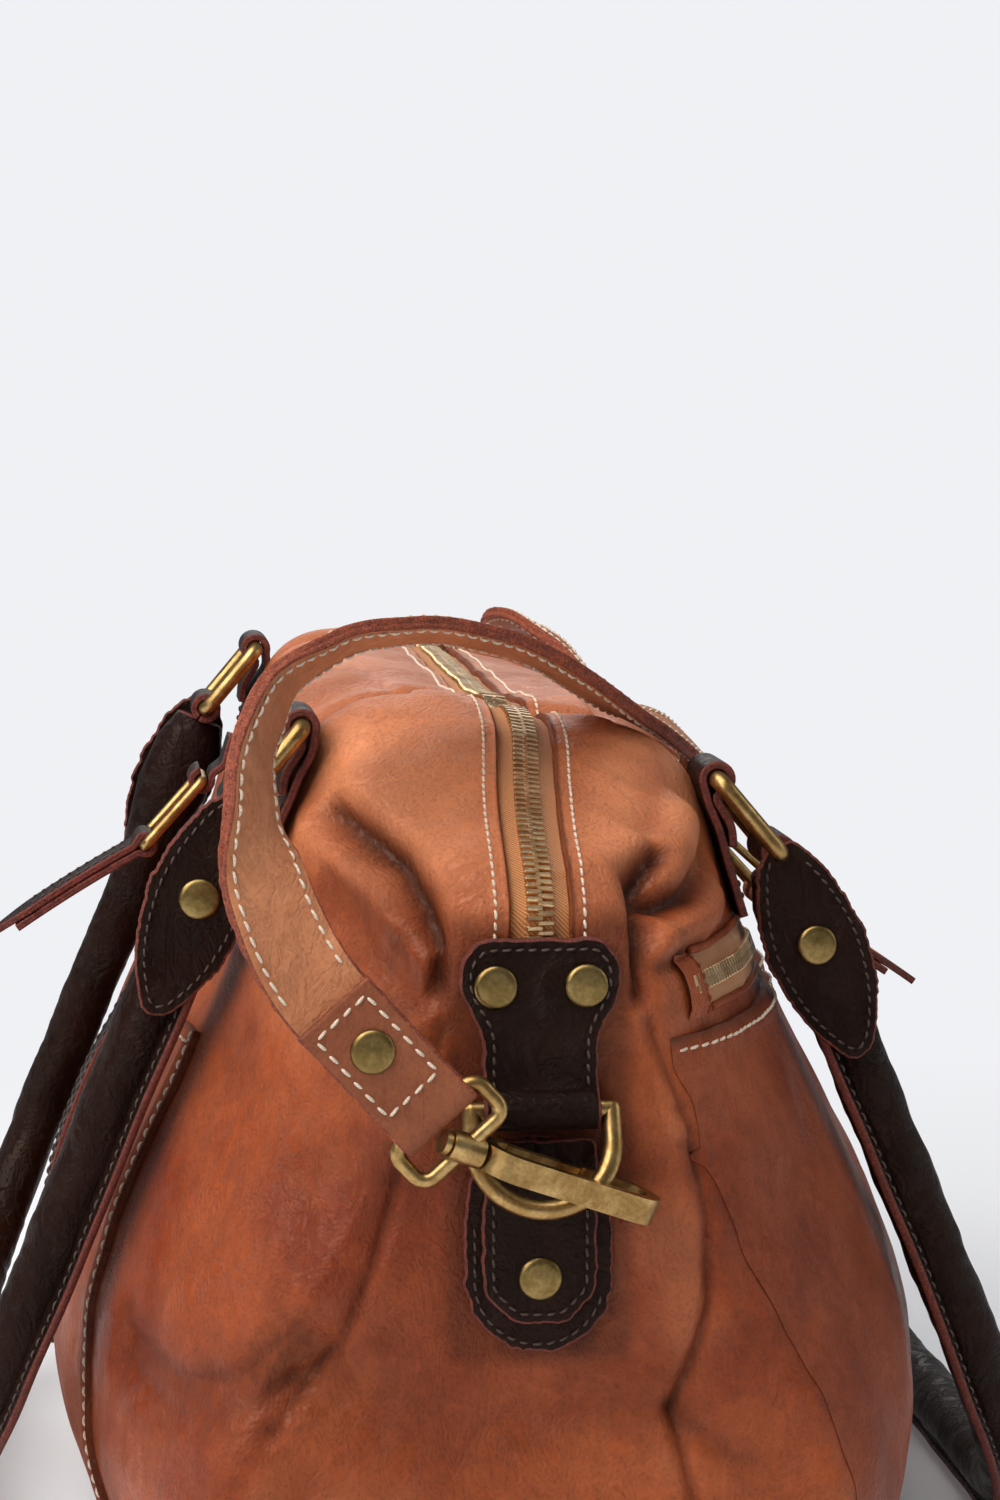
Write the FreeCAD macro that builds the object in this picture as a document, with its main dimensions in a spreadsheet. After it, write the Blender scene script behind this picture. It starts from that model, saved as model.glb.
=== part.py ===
"""Leather travel bag with two rolled handles, end D-rings and a clipped shoulder strap.

Millimetres, +Z up, +Y along the bag. The origin is the centre of the base, on the floor.
The front is the -X side, the near end the -Y end. Every size is a cell of the sheet Sizes.
"""
import FreeCAD, Part
import math
import os

os.makedirs("parts", exist_ok=True)
doc = FreeCAD.newDocument("TravelBag")
V = FreeCAD.Vector

# ---------------------------------------------------------------- driving sizes
SIZES = [
    # body
    ("body_length", 464.0), ("wall", 3.5), ("lining_thickness", 1.0), ("board_thickness", 3.0),
    ("sole_height", 1.0),
    ("ridge_height", 286.0), ("ridge_length", 270.0), ("end_height", 234.0), ("slouch", 9.0),
    ("base_half_width", 112.0), ("belly_half_width", 141.0), ("belly_height", 82.0),
    ("shoulder_half_width", 86.0), ("shoulder_height", 222.0),
    ("crest_half_width", 58.0), ("crest_drop", 8.0),
    ("base_end_half_width", 70.0), ("belly_end_half_width", 86.0),
    ("shoulder_end_half_width", 40.0), ("crest_end_half_width", 25.0),
    ("corner_power", 2.3), ("corner_round", 8.0),
    ("gusset_top_height", 208.0), ("gusset_top_half_width", 29.0),
    ("gusset_waist_height", 145.0), ("gusset_waist_half_width", 46.0),
    ("gusset_foot_height", 58.0), ("gusset_foot_half_width", 90.0), ("gusset_depth", 62.0),
    # main zip
    ("zip_opening", 17.0), ("zip_chain_width", 6.4), ("zip_tape_thickness", 1.0),
    ("zip_tape_inset", 1.2), ("zip_chain_thickness", 2.8), ("zip_chain_inset", 0.3),
    ("slider_width", 11.0), ("slider_length", 16.0), ("slider_height", 4.0),
    ("slider_place", 112.0), ("pull_width", 7.0), ("pull_length", 30.0), ("pull_thickness", 1.6),
    ("zip_pin_thickness", 1.2), ("bail_radius", 3.2), ("bail_width", 2.4),
    # pockets
    ("pocket_thickness", 2.2), ("pocket_hem_height", 198.0), ("pocket_foot_height", 14.0),
    ("pocket_zip_low", 204.0), ("pocket_zip_high", 219.0), ("pocket_zip_half_length", 206.0),
    ("pocket_chain_width", 5.0), ("pocket_slider_place", 92.0),
    ("front_pocket_half_length", 142.0), ("front_pocket_height", 186.0),
    # leather straps and loops on the body
    ("leather", 2.5), ("skin_gap", 0.2), ("seat_gap", 0.3),
    ("ring_spacing", 300.0), ("chape_width", 25.0), ("chape_seat_height", 268.0),
    ("chape_foot_height", 222.0), ("loop_lift", 2.9),
    # handle rings and handles
    ("ring_wire", 5.6), ("ring_inner_width", 28.0), ("ring_pitch", 30.0), ("ring_corner", 1.3),
    ("ring_lean", 40.0), ("handle_lean", 22.5), ("handle_drop", 244.0), ("handle_diameter", 19.0),
    ("handle_corner", 82.0), ("leaf_width", 33.0), ("leaf_length", 70.0), ("leaf_thickness", 3.4),
    ("leaf_loop_width", 25.0), ("leaf_rivet_place", 31.0),
    # rivets
    ("rivet_head", 12.0), ("rivet_head_height", 1.6),
    # end tabs
    ("patch_width", 43.0), ("patch_bottom", 108.0), ("patch_top", 172.0), ("patch_thickness", 2.0),
    ("tail_width", 33.0), ("tail_bottom", 117.0), ("tail_top", 171.0),
    ("tab_width", 46.0), ("tab_neck_width", 33.0), ("tab_top", 228.0), ("tab_shoulder", 205.0),
    ("d_ring_height", 180.0), ("d_ring_wire", 5.7), ("d_ring_radius", 20.0), ("d_ring_side", 9.0),
    ("d_ring_tilt", 26.0), ("tab_rivet_spacing", 26.0), ("tab_rivet_height", 215.5),
    ("tail_rivet_height", 130.5),
    # clasp and shoulder strap
    ("strap_width", 25.0), ("strap_thickness", 4.0), ("strap_patch_length", 42.0),
    ("strap_patch_thickness", 2.0), ("strap_rivet_place", 25.5),
    ("loop_wire", 4.5), ("loop_inner_width", 26.5), ("loop_pitch", 13.0),
    ("clasp_bar_x", -33.0), ("clasp_bar_y", -259.8), ("clasp_bar_z", 184.0), ("clasp_turn", 42.0),
    ("swivel_diameter", 9.0), ("swivel_length", 10.0),
    ("hook_length", 57.0), ("hook_width", 20.0), ("hook_rail", 4.0), ("hook_depth", 7.5),
    ("hook_forward", 0.905), ("hook_inward", 0.27), ("hook_down", 0.365),
    ("gate_length", 24.0), ("gate_clearance", 0.35),
    # belts
    ("belt_width", 20.0), ("belt_seat_height", 236.0), ("belt_top_height", 263.0),
    ("buckle_wire", 3.6), ("buckle_pitch", 30.0), ("buckle_lean", 42.0), ("tongue_diameter", 3.0),
    ("belt_tail_length", 62.0), ("belt_tail_lean", 62.0),
    ("belt_low_top", 176.0), ("belt_low_foot", 52.0),
    ("pin_clearance", 0.4),
]
sheet = doc.addObject("Spreadsheet::Sheet", "Sizes")
for row, (alias, value) in enumerate(SIZES, start=1):
    sheet.set("A%d" % row, alias)
    sheet.set("B%d" % row, str(value))
    sheet.setAlias("B%d" % row, alias)
doc.recompute()


def size(alias):
    """The number in a cell of the sheet."""
    return float(sheet.get(alias))


nodes = []


def keep(obj, label):
    """Give a finished sub-part its own label, which names its file."""
    obj.Label = label
    nodes.append(obj)
    return obj


def shaped(label, shape):
    """A sub-part whose shape is made by Part's functions from the sheet's sizes."""
    obj = doc.addObject("Part::Feature", label)
    obj.Shape = shape
    return keep(obj, label)


def bound(kind, name, sizes, place=None):
    """A Part primitive whose sizes follow the sheet."""
    obj = doc.addObject(kind, name)
    for prop, expression in sizes.items():
        obj.setExpression(prop, expression)
    if place is not None:
        obj.Placement = place
    return obj


def joined(kind, name, parts):
    """A boolean of several objects: Part::MultiFuse, Part::MultiCommon or Part::Cut."""
    obj = doc.addObject(kind, name)
    if kind == "Part::Cut":
        obj.Base, obj.Tool = parts
    else:
        obj.Shapes = parts
    return obj


def at(x, y, z, axis=None, angle=0.0):
    """A placement: move to a point after a turn about an axis through the origin."""
    return FreeCAD.Placement(V(x, y, z), FreeCAD.Rotation(axis or V(0, 0, 1), angle))


def axes_place(origin, x_axis, z_axis):
    """A placement from the directions of the local X and Z axes."""
    z_dir = V(z_axis).normalize()
    y_dir = z_dir.cross(x_axis).normalize()
    turn = FreeCAD.Rotation(y_dir.cross(z_dir), y_dir, z_dir, "ZXY")
    return FreeCAD.Placement(origin, turn)


# ---------------------------------------------------------------- the soft body
END = size("body_length") / 2
RIDGE = size("ridge_height")
WALL = size("wall")
LEATHER = size("leather")
GAP = size("skin_gap")
# Shares of the half length at which the body's cross-sections stand.
STATIONS = [0.0, 0.22, 0.42, 0.58, 0.71, 0.82, 0.905, 0.965, 1.0]


def fullness(y):
    """1 at the middle of the bag and 0 at its flat ends, rounded in plan like a superellipse."""
    power = size("corner_power")
    reach = END + size("corner_round")
    share = (1 - (min(abs(y), END) / reach) ** power) ** (1 / power)
    least = (1 - (END / reach) ** power) ** (1 / power)
    return (share - least) / (1 - least)


def top_height(y):
    """Height of the top on the centre line: level between the rings, falling to the ends."""
    level = size("ridge_length") / 2
    fall = max(abs(y) - level, 0) / (END - level)
    return RIDGE - (RIDGE - size("end_height")) * fall ** 1.6


def slouched(x, z):
    """The soft top leans: it is lower on the +X side than on the -X side."""
    return z - size("slouch") * x / size("crest_half_width") * z / RIDGE


def section(y, inset):
    """Closed cross-section at station y, moved in by inset (out where it is negative)."""
    full = fullness(y)

    def half(name):
        end = size(name + "_end_half_width")
        return end + (size(name + "_half_width") - end) * full
    top = top_height(y)
    floor = max(inset, 0)
    right = [(half("base") - inset, floor),
             (half("belly") - inset, size("belly_height")),
             (half("shoulder") - 1.12 * inset, size("shoulder_height") * top / RIDGE),
             (half("crest") - 0.75 * inset, top - size("crest_drop") - 0.8 * inset)]
    left = [(-x, z) for x, z in reversed(right)]
    outline = right + [(0, top - inset)] + left
    station = y * (END - inset) / END
    points = [V(x, station, slouched(x, z) if index not in (0, 8) else z)
              for index, (x, z) in enumerate(outline)]
    curve = Part.BSplineCurve()
    curve.interpolate(points)
    skin = curve.toShape()
    base = Part.LineSegment(points[-1], points[0]).toShape()
    return Part.Wire([skin, base])


body_solids = {}


def body_solid(inset):
    """The bag's outer form, moved in by inset."""
    if inset not in body_solids:
        places = [-share for share in reversed(STATIONS[1:])] + STATIONS
        wires = [section(share * END, inset) for share in places]
        body_solids[inset] = Part.makeLoft(wires, True, False)
    return body_solids[inset]


def layer(inner, outer):
    """A skin that lies between two distances outside the bag's outer form."""
    return body_solid(-outer).cut(body_solid(-inner))


def span(x0, x1, y0, y1, z0, z1):
    """A box from its two corners."""
    return Part.makeBox(x1 - x0, y1 - y0, z1 - z0, V(x0, y0, z0))


def side_span(side, y0, y1, z0, z1):
    """The half space on one side of the centre plane, between two stations and heights."""
    wide = 2 * size("belly_half_width")
    low, high = (0, wide) if side > 0 else (-wide, 0)
    return span(low, high, y0, y1, z0, z1)


def skin_outline(y):
    """Points round the bag's skin at a station, in order."""
    wire = max(body_solid(0).slice(V(0, 1, 0), y), key=lambda w: w.Length)
    return wire.discretize(700)


outlines = {}


def skin_point(y, z, side):
    """Point and outward normal of the bag's skin at a station and height, or x for side 0."""
    if y not in outlines:
        outlines[y] = skin_outline(y)
    points = outlines[y]
    inner = range(1, len(points) - 1)
    if side:
        index = min((i for i in inner if points[i].x * side > 0),
                    key=lambda i: abs(points[i].z - z))
    else:
        index = min((i for i in inner if points[i].z > RIDGE / 2),
                    key=lambda i: abs(points[i].x - z))
    along = (points[index + 1] - points[index - 1]).normalize()
    normal = V(along.z, 0, -along.x)
    centre = V(0, y, RIDGE / 2)
    if normal.dot(points[index] - centre) < 0:
        normal = normal * -1
    return points[index], normal


def gusset_prism(end):
    """The A-shaped end panel's outline, run inwards from one end."""
    heights = ["gusset_top", "gusset_waist", "gusset_foot"]
    right = [V(size(n + "_half_width"), 0, size(n + "_height")) for n in heights]
    right.append(V(size("gusset_foot_half_width"), 0, -1))
    left = [V(-p.x, 0, p.z) for p in reversed(right)]
    face = Part.Face(Part.makePolygon(right + left + [right[0]]))
    past = 10.0
    prism = face.extrude(V(0, size("gusset_depth") + past, 0))
    prism.translate(V(0, -END - past if end < 0 else END - size("gusset_depth"), 0))
    return prism


FAR = 2 * END
zip_half = size("zip_opening") / 2
shell = body_solid(0).cut(body_solid(WALL))
slab = span(-FAR, FAR, -FAR, FAR, -1, WALL)
zip_slot = span(-zip_half, zip_half, -FAR, FAR, size("gusset_top_height"), 2 * RIDGE)
upper_shell = shell.cut(slab)
prisms = {end: gusset_prism(end) for end in (-1, 1)}
side_shell = upper_shell.cut(zip_slot).cut(prisms[-1]).cut(prisms[1])
above = span(-FAR, FAR, -FAR, FAR, WALL, 2 * RIDGE)

shaped("front_panel", side_shell.common(side_span(-1, -FAR, FAR, 0, 2 * RIDGE)))
shaped("back_panel", side_shell.common(side_span(1, -FAR, FAR, 0, 2 * RIDGE)))
shaped("near_gusset", upper_shell.common(prisms[-1]))
shaped("far_gusset", upper_shell.common(prisms[1]))
# the sole is flat: the outline at its height, carried straight down to the floor
sole = size("sole_height")
base_top = body_solid(0).common(span(-FAR, FAR, -FAR, FAR, sole, WALL))
outline = Part.Face(body_solid(0).slice(V(0, 0, 1), sole)[0])
outline.translate(V(0, 0, -sole))
shaped("base_panel", base_top.fuse(outline.extrude(V(0, 0, sole))).removeSplitter())
inner_skin = WALL + size("lining_thickness")
shaped("lining", body_solid(WALL).cut(body_solid(inner_skin)).cut(zip_slot))
board_slab = span(-FAR, FAR, -FAR, FAR, inner_skin, inner_skin + size("board_thickness"))
shaped("base_board", body_solid(inner_skin + size("seat_gap")).common(board_slab.copy()))

# ---------------------------------------------------------------- main zip
chain_half = size("zip_chain_width") / 2
tape_top = size("zip_tape_inset")
tape = layer(-tape_top - size("zip_tape_thickness"), -tape_top)
for side, label in ((-1, "front_zip_tape"), (1, "back_zip_tape")):
    strip = span(min(side * chain_half, side * zip_half), max(side * chain_half, side * zip_half),
                 -FAR, FAR, size("gusset_top_height"), 2 * RIDGE)
    shaped(label, tape.common(strip))
chain_top = size("zip_chain_inset")
chain = layer(-chain_top - size("zip_chain_thickness"), -chain_top)
shaped("zip_chain", chain.common(span(-chain_half, chain_half, -FAR, FAR,
                                      size("gusset_top_height"), 2 * RIDGE)))


def slider_parts(prefix, wide):
    """Zip slider with a channel for the teeth and a bail for its pull, and the pull itself.

    Local frame: Z off the tape from the chain's top, Y along the zip.
    """
    across = FreeCAD.Rotation(V(0, 1, 0), 90)
    floor = "(2 * Sizes.seat_gap - Sizes.zip_tape_inset)"
    crown = "(%s + Sizes.slider_height)" % floor
    pin_height = "(%s + Sizes.pull_thickness / 2 + Sizes.pin_clearance)" % crown
    name = prefix + "_slider"
    top = bound("Part::Box", name + "_top", {
        "Length": "Sizes.slider_width", "Width": "Sizes.slider_length",
        "Height": "Sizes.slider_height",
        "Placement.Base.x": "-Sizes.slider_width / 2",
        "Placement.Base.y": "-Sizes.slider_length / 2",
        "Placement.Base.z": floor})
    channel = bound("Part::Box", name + "_channel", {
        "Length": "%s + 2 * Sizes.pin_clearance" % wide,
        "Width": "Sizes.slider_length + 2",
        "Height": "Sizes.zip_tape_inset + Sizes.pin_clearance",
        "Placement.Base.x": "-(%s) / 2 - Sizes.pin_clearance" % wide,
        "Placement.Base.y": "-Sizes.slider_length / 2 - 1",
        "Placement.Base.z": "-Sizes.zip_tape_inset"})
    bail = bound("Part::Cylinder", name + "_bail", {
        "Radius": "Sizes.bail_radius", "Height": "Sizes.bail_width"},
        FreeCAD.Placement(V(), across))
    bail.setExpression("Placement.Base.x", "-Sizes.bail_width / 2")
    bail.setExpression("Placement.Base.z", crown)
    hole = bound("Part::Cylinder", name + "_hole", {
        "Radius": "Sizes.zip_pin_thickness / 2 + Sizes.pin_clearance / 2",
        "Height": "Sizes.slider_width"}, FreeCAD.Placement(V(), across))
    hole.setExpression("Placement.Base.x", "-Sizes.slider_width / 2")
    hole.setExpression("Placement.Base.z", pin_height)
    lump = joined("Part::MultiFuse", name + "_lump", [top, bail])
    pierced = joined("Part::Cut", name + "_pierced", [lump, hole])
    slider = joined("Part::Cut", name, [pierced, channel])
    # the pull: a flat blade forked round the bail, with a pin through it
    name = prefix + "_pull"
    pin = bound("Part::Cylinder", name + "_pin", {
        "Radius": "Sizes.zip_pin_thickness / 2", "Height": "Sizes.pull_width - 1"},
        FreeCAD.Placement(V(), across))
    pin.setExpression("Placement.Base.x", "-(Sizes.pull_width - 1) / 2")
    pin.setExpression("Placement.Base.z", pin_height)
    blade = bound("Part::Box", name + "_blade", {
        "Length": "Sizes.pull_width", "Width": "Sizes.pull_length",
        "Height": "Sizes.pull_thickness",
        "Placement.Base.x": "-Sizes.pull_width / 2",
        "Placement.Base.z": "%s - Sizes.pull_thickness / 2" % pin_height})
    barrel = bound("Part::Cylinder", name + "_barrel", {
        "Radius": "Sizes.pull_thickness / 2", "Height": "Sizes.pull_width"},
        FreeCAD.Placement(V(), across))
    barrel.setExpression("Placement.Base.x", "-Sizes.pull_width / 2")
    barrel.setExpression("Placement.Base.z", pin_height)
    plate = joined("Part::MultiFuse", name + "_plate", [blade, barrel])
    window = bound("Part::Box", name + "_window", {
        "Length": "Sizes.bail_width + 2 * Sizes.pin_clearance",
        "Width": "2 * Sizes.bail_radius + 2", "Height": "Sizes.pull_thickness * 3",
        "Placement.Base.x": "-Sizes.bail_width / 2 - Sizes.pin_clearance",
        "Placement.Base.y": "-Sizes.bail_radius - 1",
        "Placement.Base.z": "%s - Sizes.pull_thickness * 1.5" % pin_height})
    fork = joined("Part::Cut", name + "_fork", [plate, window])
    pull = joined("Part::MultiFuse", name, [fork, pin])
    return slider, pull


slider_spot, slider_normal = skin_point(size("slider_place"), 0, 0)
slider_seat = axes_place(slider_spot - slider_normal * chain_top,
                         V(0, 1, 0).cross(slider_normal), slider_normal)
slider, pull = slider_parts("zip", "Sizes.zip_chain_width")
for obj, label in ((slider, "zip_slider"), (pull, "zip_pull")):
    obj.Placement = slider_seat
    keep(obj, label)

# ---------------------------------------------------------------- pockets
pocket_layer = layer(0, size("pocket_thickness")).cut(prisms[-1]).cut(prisms[1])
pocket_end = END - size("pocket_thickness")
shaped("back_pocket", pocket_layer.common(
    side_span(1, -pocket_end, pocket_end, size("pocket_foot_height"),
              size("pocket_hem_height"))))
front_half = size("front_pocket_half_length")
shaped("front_pocket", pocket_layer.common(
    side_span(-1, -front_half, front_half, size("pocket_foot_height"),
              size("front_pocket_height"))))
pocket_half = size("pocket_zip_half_length")
zip_low, zip_high = size("pocket_zip_low"), size("pocket_zip_high")
zip_mid = (zip_low + zip_high) / 2
teeth_low = zip_mid - size("pocket_chain_width") / 2
teeth_high = zip_mid + size("pocket_chain_width") / 2
pocket_tape = layer(GAP, GAP + size("zip_tape_thickness"))
teeth_span = side_span(1, -pocket_half, pocket_half, teeth_low, teeth_high)
shaped("pocket_zip_tape", pocket_tape.common(
    side_span(1, -pocket_half, pocket_half, zip_low, zip_high)).cut(teeth_span))
shaped("pocket_zip_chain", layer(GAP, size("zip_tape_thickness") + size("zip_tape_inset")).common(
    teeth_span))
pocket_y = size("pocket_slider_place")
seat, seat_normal = skin_point(pocket_y, zip_mid, 1)
step = 2.0
ahead, _ = skin_point(pocket_y + step, zip_mid, 1)
behind, _ = skin_point(pocket_y - step, zip_mid, 1)
pocket_along = (ahead - behind).normalize()
pocket_normal = (seat_normal - pocket_along * seat_normal.dot(pocket_along)).normalize()
chain_face = size("zip_tape_thickness") + size("zip_tape_inset") + 3 * size("seat_gap")
pocket_slider, pocket_pull = slider_parts("pocket", "Sizes.pocket_chain_width")
pocket_seat = axes_place(seat + pocket_normal * chain_face,
                         pocket_along.cross(pocket_normal), pocket_normal)
for obj, label in ((pocket_slider, "pocket_slider"), (pocket_pull, "pocket_pull")):
    obj.Placement = pocket_seat
    keep(obj, label)

# ---------------------------------------------------------------- rings, loops and handles


def hang(point, length, lean, side):
    """The point a length below another, leaning outwards by an angle from straight down."""
    angle = math.radians(lean)
    return point + V(side * math.sin(angle), 0, -math.cos(angle)) * length


def loop_seat(y, z, side, wire):
    """Centre of a leather loop that lies on the skin and holds a wire of the given size."""
    point, normal = skin_point(y, z, side)
    radius = wire / 2 + size("pin_clearance") + LEATHER
    return point + normal * (GAP + size("loop_lift") + radius)


def rod(start, end, radius):
    """A round bar between two points."""
    along = end - start
    return Part.makeCylinder(radius, along.Length, start, along)


def chape(y, z, side, wire, width, foot, notch=0.0):
    """Leather strap on the skin whose top end is folded into a loop round a wire."""
    centre = loop_seat(y, z, side, wire)
    hole = wire / 2 + size("pin_clearance")
    ends = [V(0, -width / 2, 0), V(0, width / 2, 0)]
    strip = layer(GAP, GAP + LEATHER).common(
        side_span(side, y - width / 2, y + width / 2, min(foot, z), max(foot, z)))
    strip = strip.fuse(rod(centre + ends[0], centre + ends[1], hole + LEATHER))
    strip = strip.cut(rod(centre + ends[0] * 2, centre + ends[1] * 2, hole))
    if notch:
        reach = hole + LEATHER + 1
        strip = strip.cut(Part.makeBox(2 * reach, notch, 2 * reach,
                                       centre - V(reach, notch / 2, reach)))
    return strip.removeSplitter()


def wire_ring(name, inner_width, pitch, wire, corner):
    """Rectangular ring of round wire, in its local XZ plane, its top bar along X at the origin.

    Sizes are expressions: inner width between the side bars, pitch between the two long bars.
    """
    half = "((%s) + (%s)) / 2" % (inner_width, wire)
    bend = "((%s) + (%s) / 2)" % (corner, wire)
    thick = "(%s) / 2" % wire
    parts = []
    for index, (x_sign, z_text, turn) in enumerate((
            (1, "-%s" % bend, 0), (-1, "-%s" % bend, 90),
            (-1, "%s - (%s)" % (bend, pitch), 180), (1, "%s - (%s)" % (bend, pitch), 270))):
        elbow = bound("Part::Torus", "%s_elbow%d" % (name, index), {
            "Radius1": bend, "Radius2": thick})
        elbow.Angle3 = 90
        elbow.Placement = FreeCAD.Placement(V(), FreeCAD.Rotation(V(1, 0, 0), 90)
                                            * FreeCAD.Rotation(V(0, 0, 1), turn))
        elbow.setExpression("Placement.Base.x", "%d * (%s - %s)" % (x_sign, half, bend))
        elbow.setExpression("Placement.Base.z", z_text)
        parts.append(elbow)
    for index, z_text in enumerate(("0", "-(%s)" % pitch)):
        bar = bound("Part::Cylinder", "%s_bar%d" % (name, index), {
            "Radius": thick, "Height": "2 * (%s - %s)" % (half, bend)})
        bar.Placement = FreeCAD.Placement(V(), FreeCAD.Rotation(V(0, 1, 0), 90))
        bar.setExpression("Placement.Base.x", "-(%s - %s)" % (half, bend))
        bar.setExpression("Placement.Base.z", z_text)
        parts.append(bar)
    for index, x_sign in enumerate((1, -1)):
        side = bound("Part::Cylinder", "%s_side%d" % (name, index), {
            "Radius": thick, "Height": "(%s) - 2 * %s" % (pitch, bend),
            "Placement.Base.x": "%d * %s" % (x_sign, half),
            "Placement.Base.z": "%s - (%s)" % (bend, pitch)})
        parts.append(side)
    return joined("Part::MultiFuse", name, parts)


def hung_place(point, lean, side):
    """Placement of a wire_ring whose top bar lies along Y and which leans outwards."""
    down = hang(V(), 1.0, lean, side)
    return axes_place(point, V(0, 1, 0), down * -1)


ring_y = size("ring_spacing") / 2
ring_wire = size("ring_wire")
side_names = {-1: "front", 1: "back"}
end_names = {-1: "near", 1: "far"}
ring_pivot = {side: loop_seat(ring_y, slouched(side * size("crest_half_width"),
                                               size("chape_seat_height")), side, ring_wire)
              for side in (-1, 1)}
tube_radius = size("handle_diameter") / 2


def handle_tube(side, pivot):
    """Rolled handle: two legs and a bottom run joined by arcs, in a plane that leans out."""
    lean = size("handle_lean")
    start = size("ring_wire") / 2 + size("pin_clearance") + LEATHER + size("seat_gap")
    bend = size("handle_corner")
    drop = size("handle_drop")
    down = hang(V(), 1.0, lean, side)

    def spot(y, along):
        return V(pivot.x, y, pivot.z) + down * along
    top_near, top_far = spot(-ring_y, start), spot(ring_y, start)
    low_near, low_far = spot(-ring_y, drop - bend), spot(ring_y, drop - bend)
    near_in, far_in = spot(-ring_y + bend, drop), spot(ring_y - bend, drop)
    slack = bend * (1 - math.sqrt(0.5))
    near_mid = spot(-ring_y + slack, drop - slack)
    far_mid = spot(ring_y - slack, drop - slack)
    path = Part.Wire([Part.LineSegment(top_near, low_near).toShape(),
                      Part.Arc(low_near, near_mid, near_in).toShape(),
                      Part.LineSegment(near_in, far_in).toShape(),
                      Part.Arc(far_in, far_mid, low_far).toShape(),
                      Part.LineSegment(low_far, top_far).toShape()])
    circle = Part.Wire(Part.Circle(top_near, down, tube_radius).toShape())
    return path.makePipeShell([circle], True, False)


def leaf(side, end, pivot):
    """Leather leaf at a handle's end: a loop round the ring's bar and a pointed flap."""
    lean = size("handle_lean")
    down = hang(V(), 1.0, lean, side)
    across = V(-down.z, 0, down.x)
    centre = V(pivot.x, end * ring_y, pivot.z)
    hole = ring_wire / 2 + size("pin_clearance")
    half_loop = V(0, size("leaf_loop_width") / 2, 0)
    loop = rod(centre - half_loop, centre + half_loop, hole + LEATHER)
    face_y = end * (ring_y + tube_radius)
    half, length = size("leaf_width") / 2, size("leaf_length")
    narrow = hole + LEATHER
    outline = [(-narrow, 0), (-half * 0.85, length * 0.22), (-half, length * 0.45),
               (-half * 0.72, length * 0.78), (-half * 0.2, length), (half * 0.3, length * 0.97),
               (half * 0.8, length * 0.75), (half, length * 0.45), (half * 0.85, length * 0.22),
               (narrow, 0)]
    points = [V(pivot.x, face_y, pivot.z) + across * x + down * s for x, s in outline]
    flap = Part.Face(Part.makePolygon(points + [points[0]]))
    flap = flap.extrude(V(0, end * size("leaf_thickness"), 0))
    body = loop.fuse(flap)
    return body.cut(rod(centre - half_loop * 3, centre + half_loop * 3, hole)).removeSplitter()


def rivet_cap(centre, outward):
    """Low rivet head lying on a face: a rim and a bevelled crown."""
    height, radius = size("rivet_head_height"), size("rivet_head") / 2
    rim = Part.makeCylinder(radius, 0.4 * height, centre, outward)
    crown = Part.makeCone(radius, 0.6 * radius, 0.6 * height, centre + outward * 0.4 * height,
                          outward)
    return rim.fuse(crown).removeSplitter()


for side in (-1, 1):
    name = side_names[side]
    lower = hang(ring_pivot[side], size("ring_pitch"), size("ring_lean"), side)
    chapes, leaves, caps = [], [], []
    for end in (-1, 1):
        seat_z = slouched(side * size("crest_half_width"), size("chape_seat_height"))
        chapes.append(chape(end * ring_y, seat_z, side, ring_wire, size("chape_width"),
                            size("chape_foot_height")))
        ring = wire_ring("%s_%s_ring" % (end_names[end], name), "Sizes.ring_inner_width",
                         "Sizes.ring_pitch", "Sizes.ring_wire", "Sizes.ring_corner")
        pivot = ring_pivot[side]
        ring.Placement = hung_place(V(pivot.x, end * ring_y, pivot.z), size("ring_lean"), side)
        keep(ring, "%s_%s_ring" % (end_names[end], name))
        leaves.append(leaf(side, end, lower))
        down = hang(V(), 1.0, size("handle_lean"), side)
        face = end * (ring_y + tube_radius + size("leaf_thickness"))
        centre = V(lower.x, face, lower.z) + down * size("leaf_rivet_place")
        caps.append(rivet_cap(centre, V(0, end, 0)))
    shaped(name + "_chapes", Part.Compound(chapes))
    shaped(name + "_handle_tube", handle_tube(side, lower))
    shaped(name + "_handle_leaves", Part.Compound(leaves))
    shaped(name + "_handle_rivets", Part.Compound(caps))

# ---------------------------------------------------------------- end tabs and D-rings
turned = FreeCAD.Rotation(V(0, 0, 1), 180)


def both_ends(label, shape, pattern="%s_%s"):
    """A piece of the near end, and its twin turned half round for the far end."""
    twin = shape.copy()
    twin.rotate(V(0, 0, 0), V(0, 0, 1), 180)
    shaped(pattern % ("near", label), shape)
    shaped(pattern % ("far", label), twin)


def end_plate(outline, back, front):
    """A leather plate on the near end face, from its outline in X and Z."""
    points = [V(x, -END - back, z) for x, z in outline]
    face = Part.Face(Part.makePolygon(points + [points[0]]))
    return face.extrude(V(0, back - front, 0))


def oval(width, low, high, count=24):
    """Outline of an upright rounded form."""
    radius = width / 2
    spots = []
    for index in range(count):
        angle = 2 * math.pi * index / count
        centre = high - radius if math.sin(angle) > 0 else low + radius
        spots.append((radius * math.cos(angle), centre + radius * math.sin(angle)))
    return spots


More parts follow.
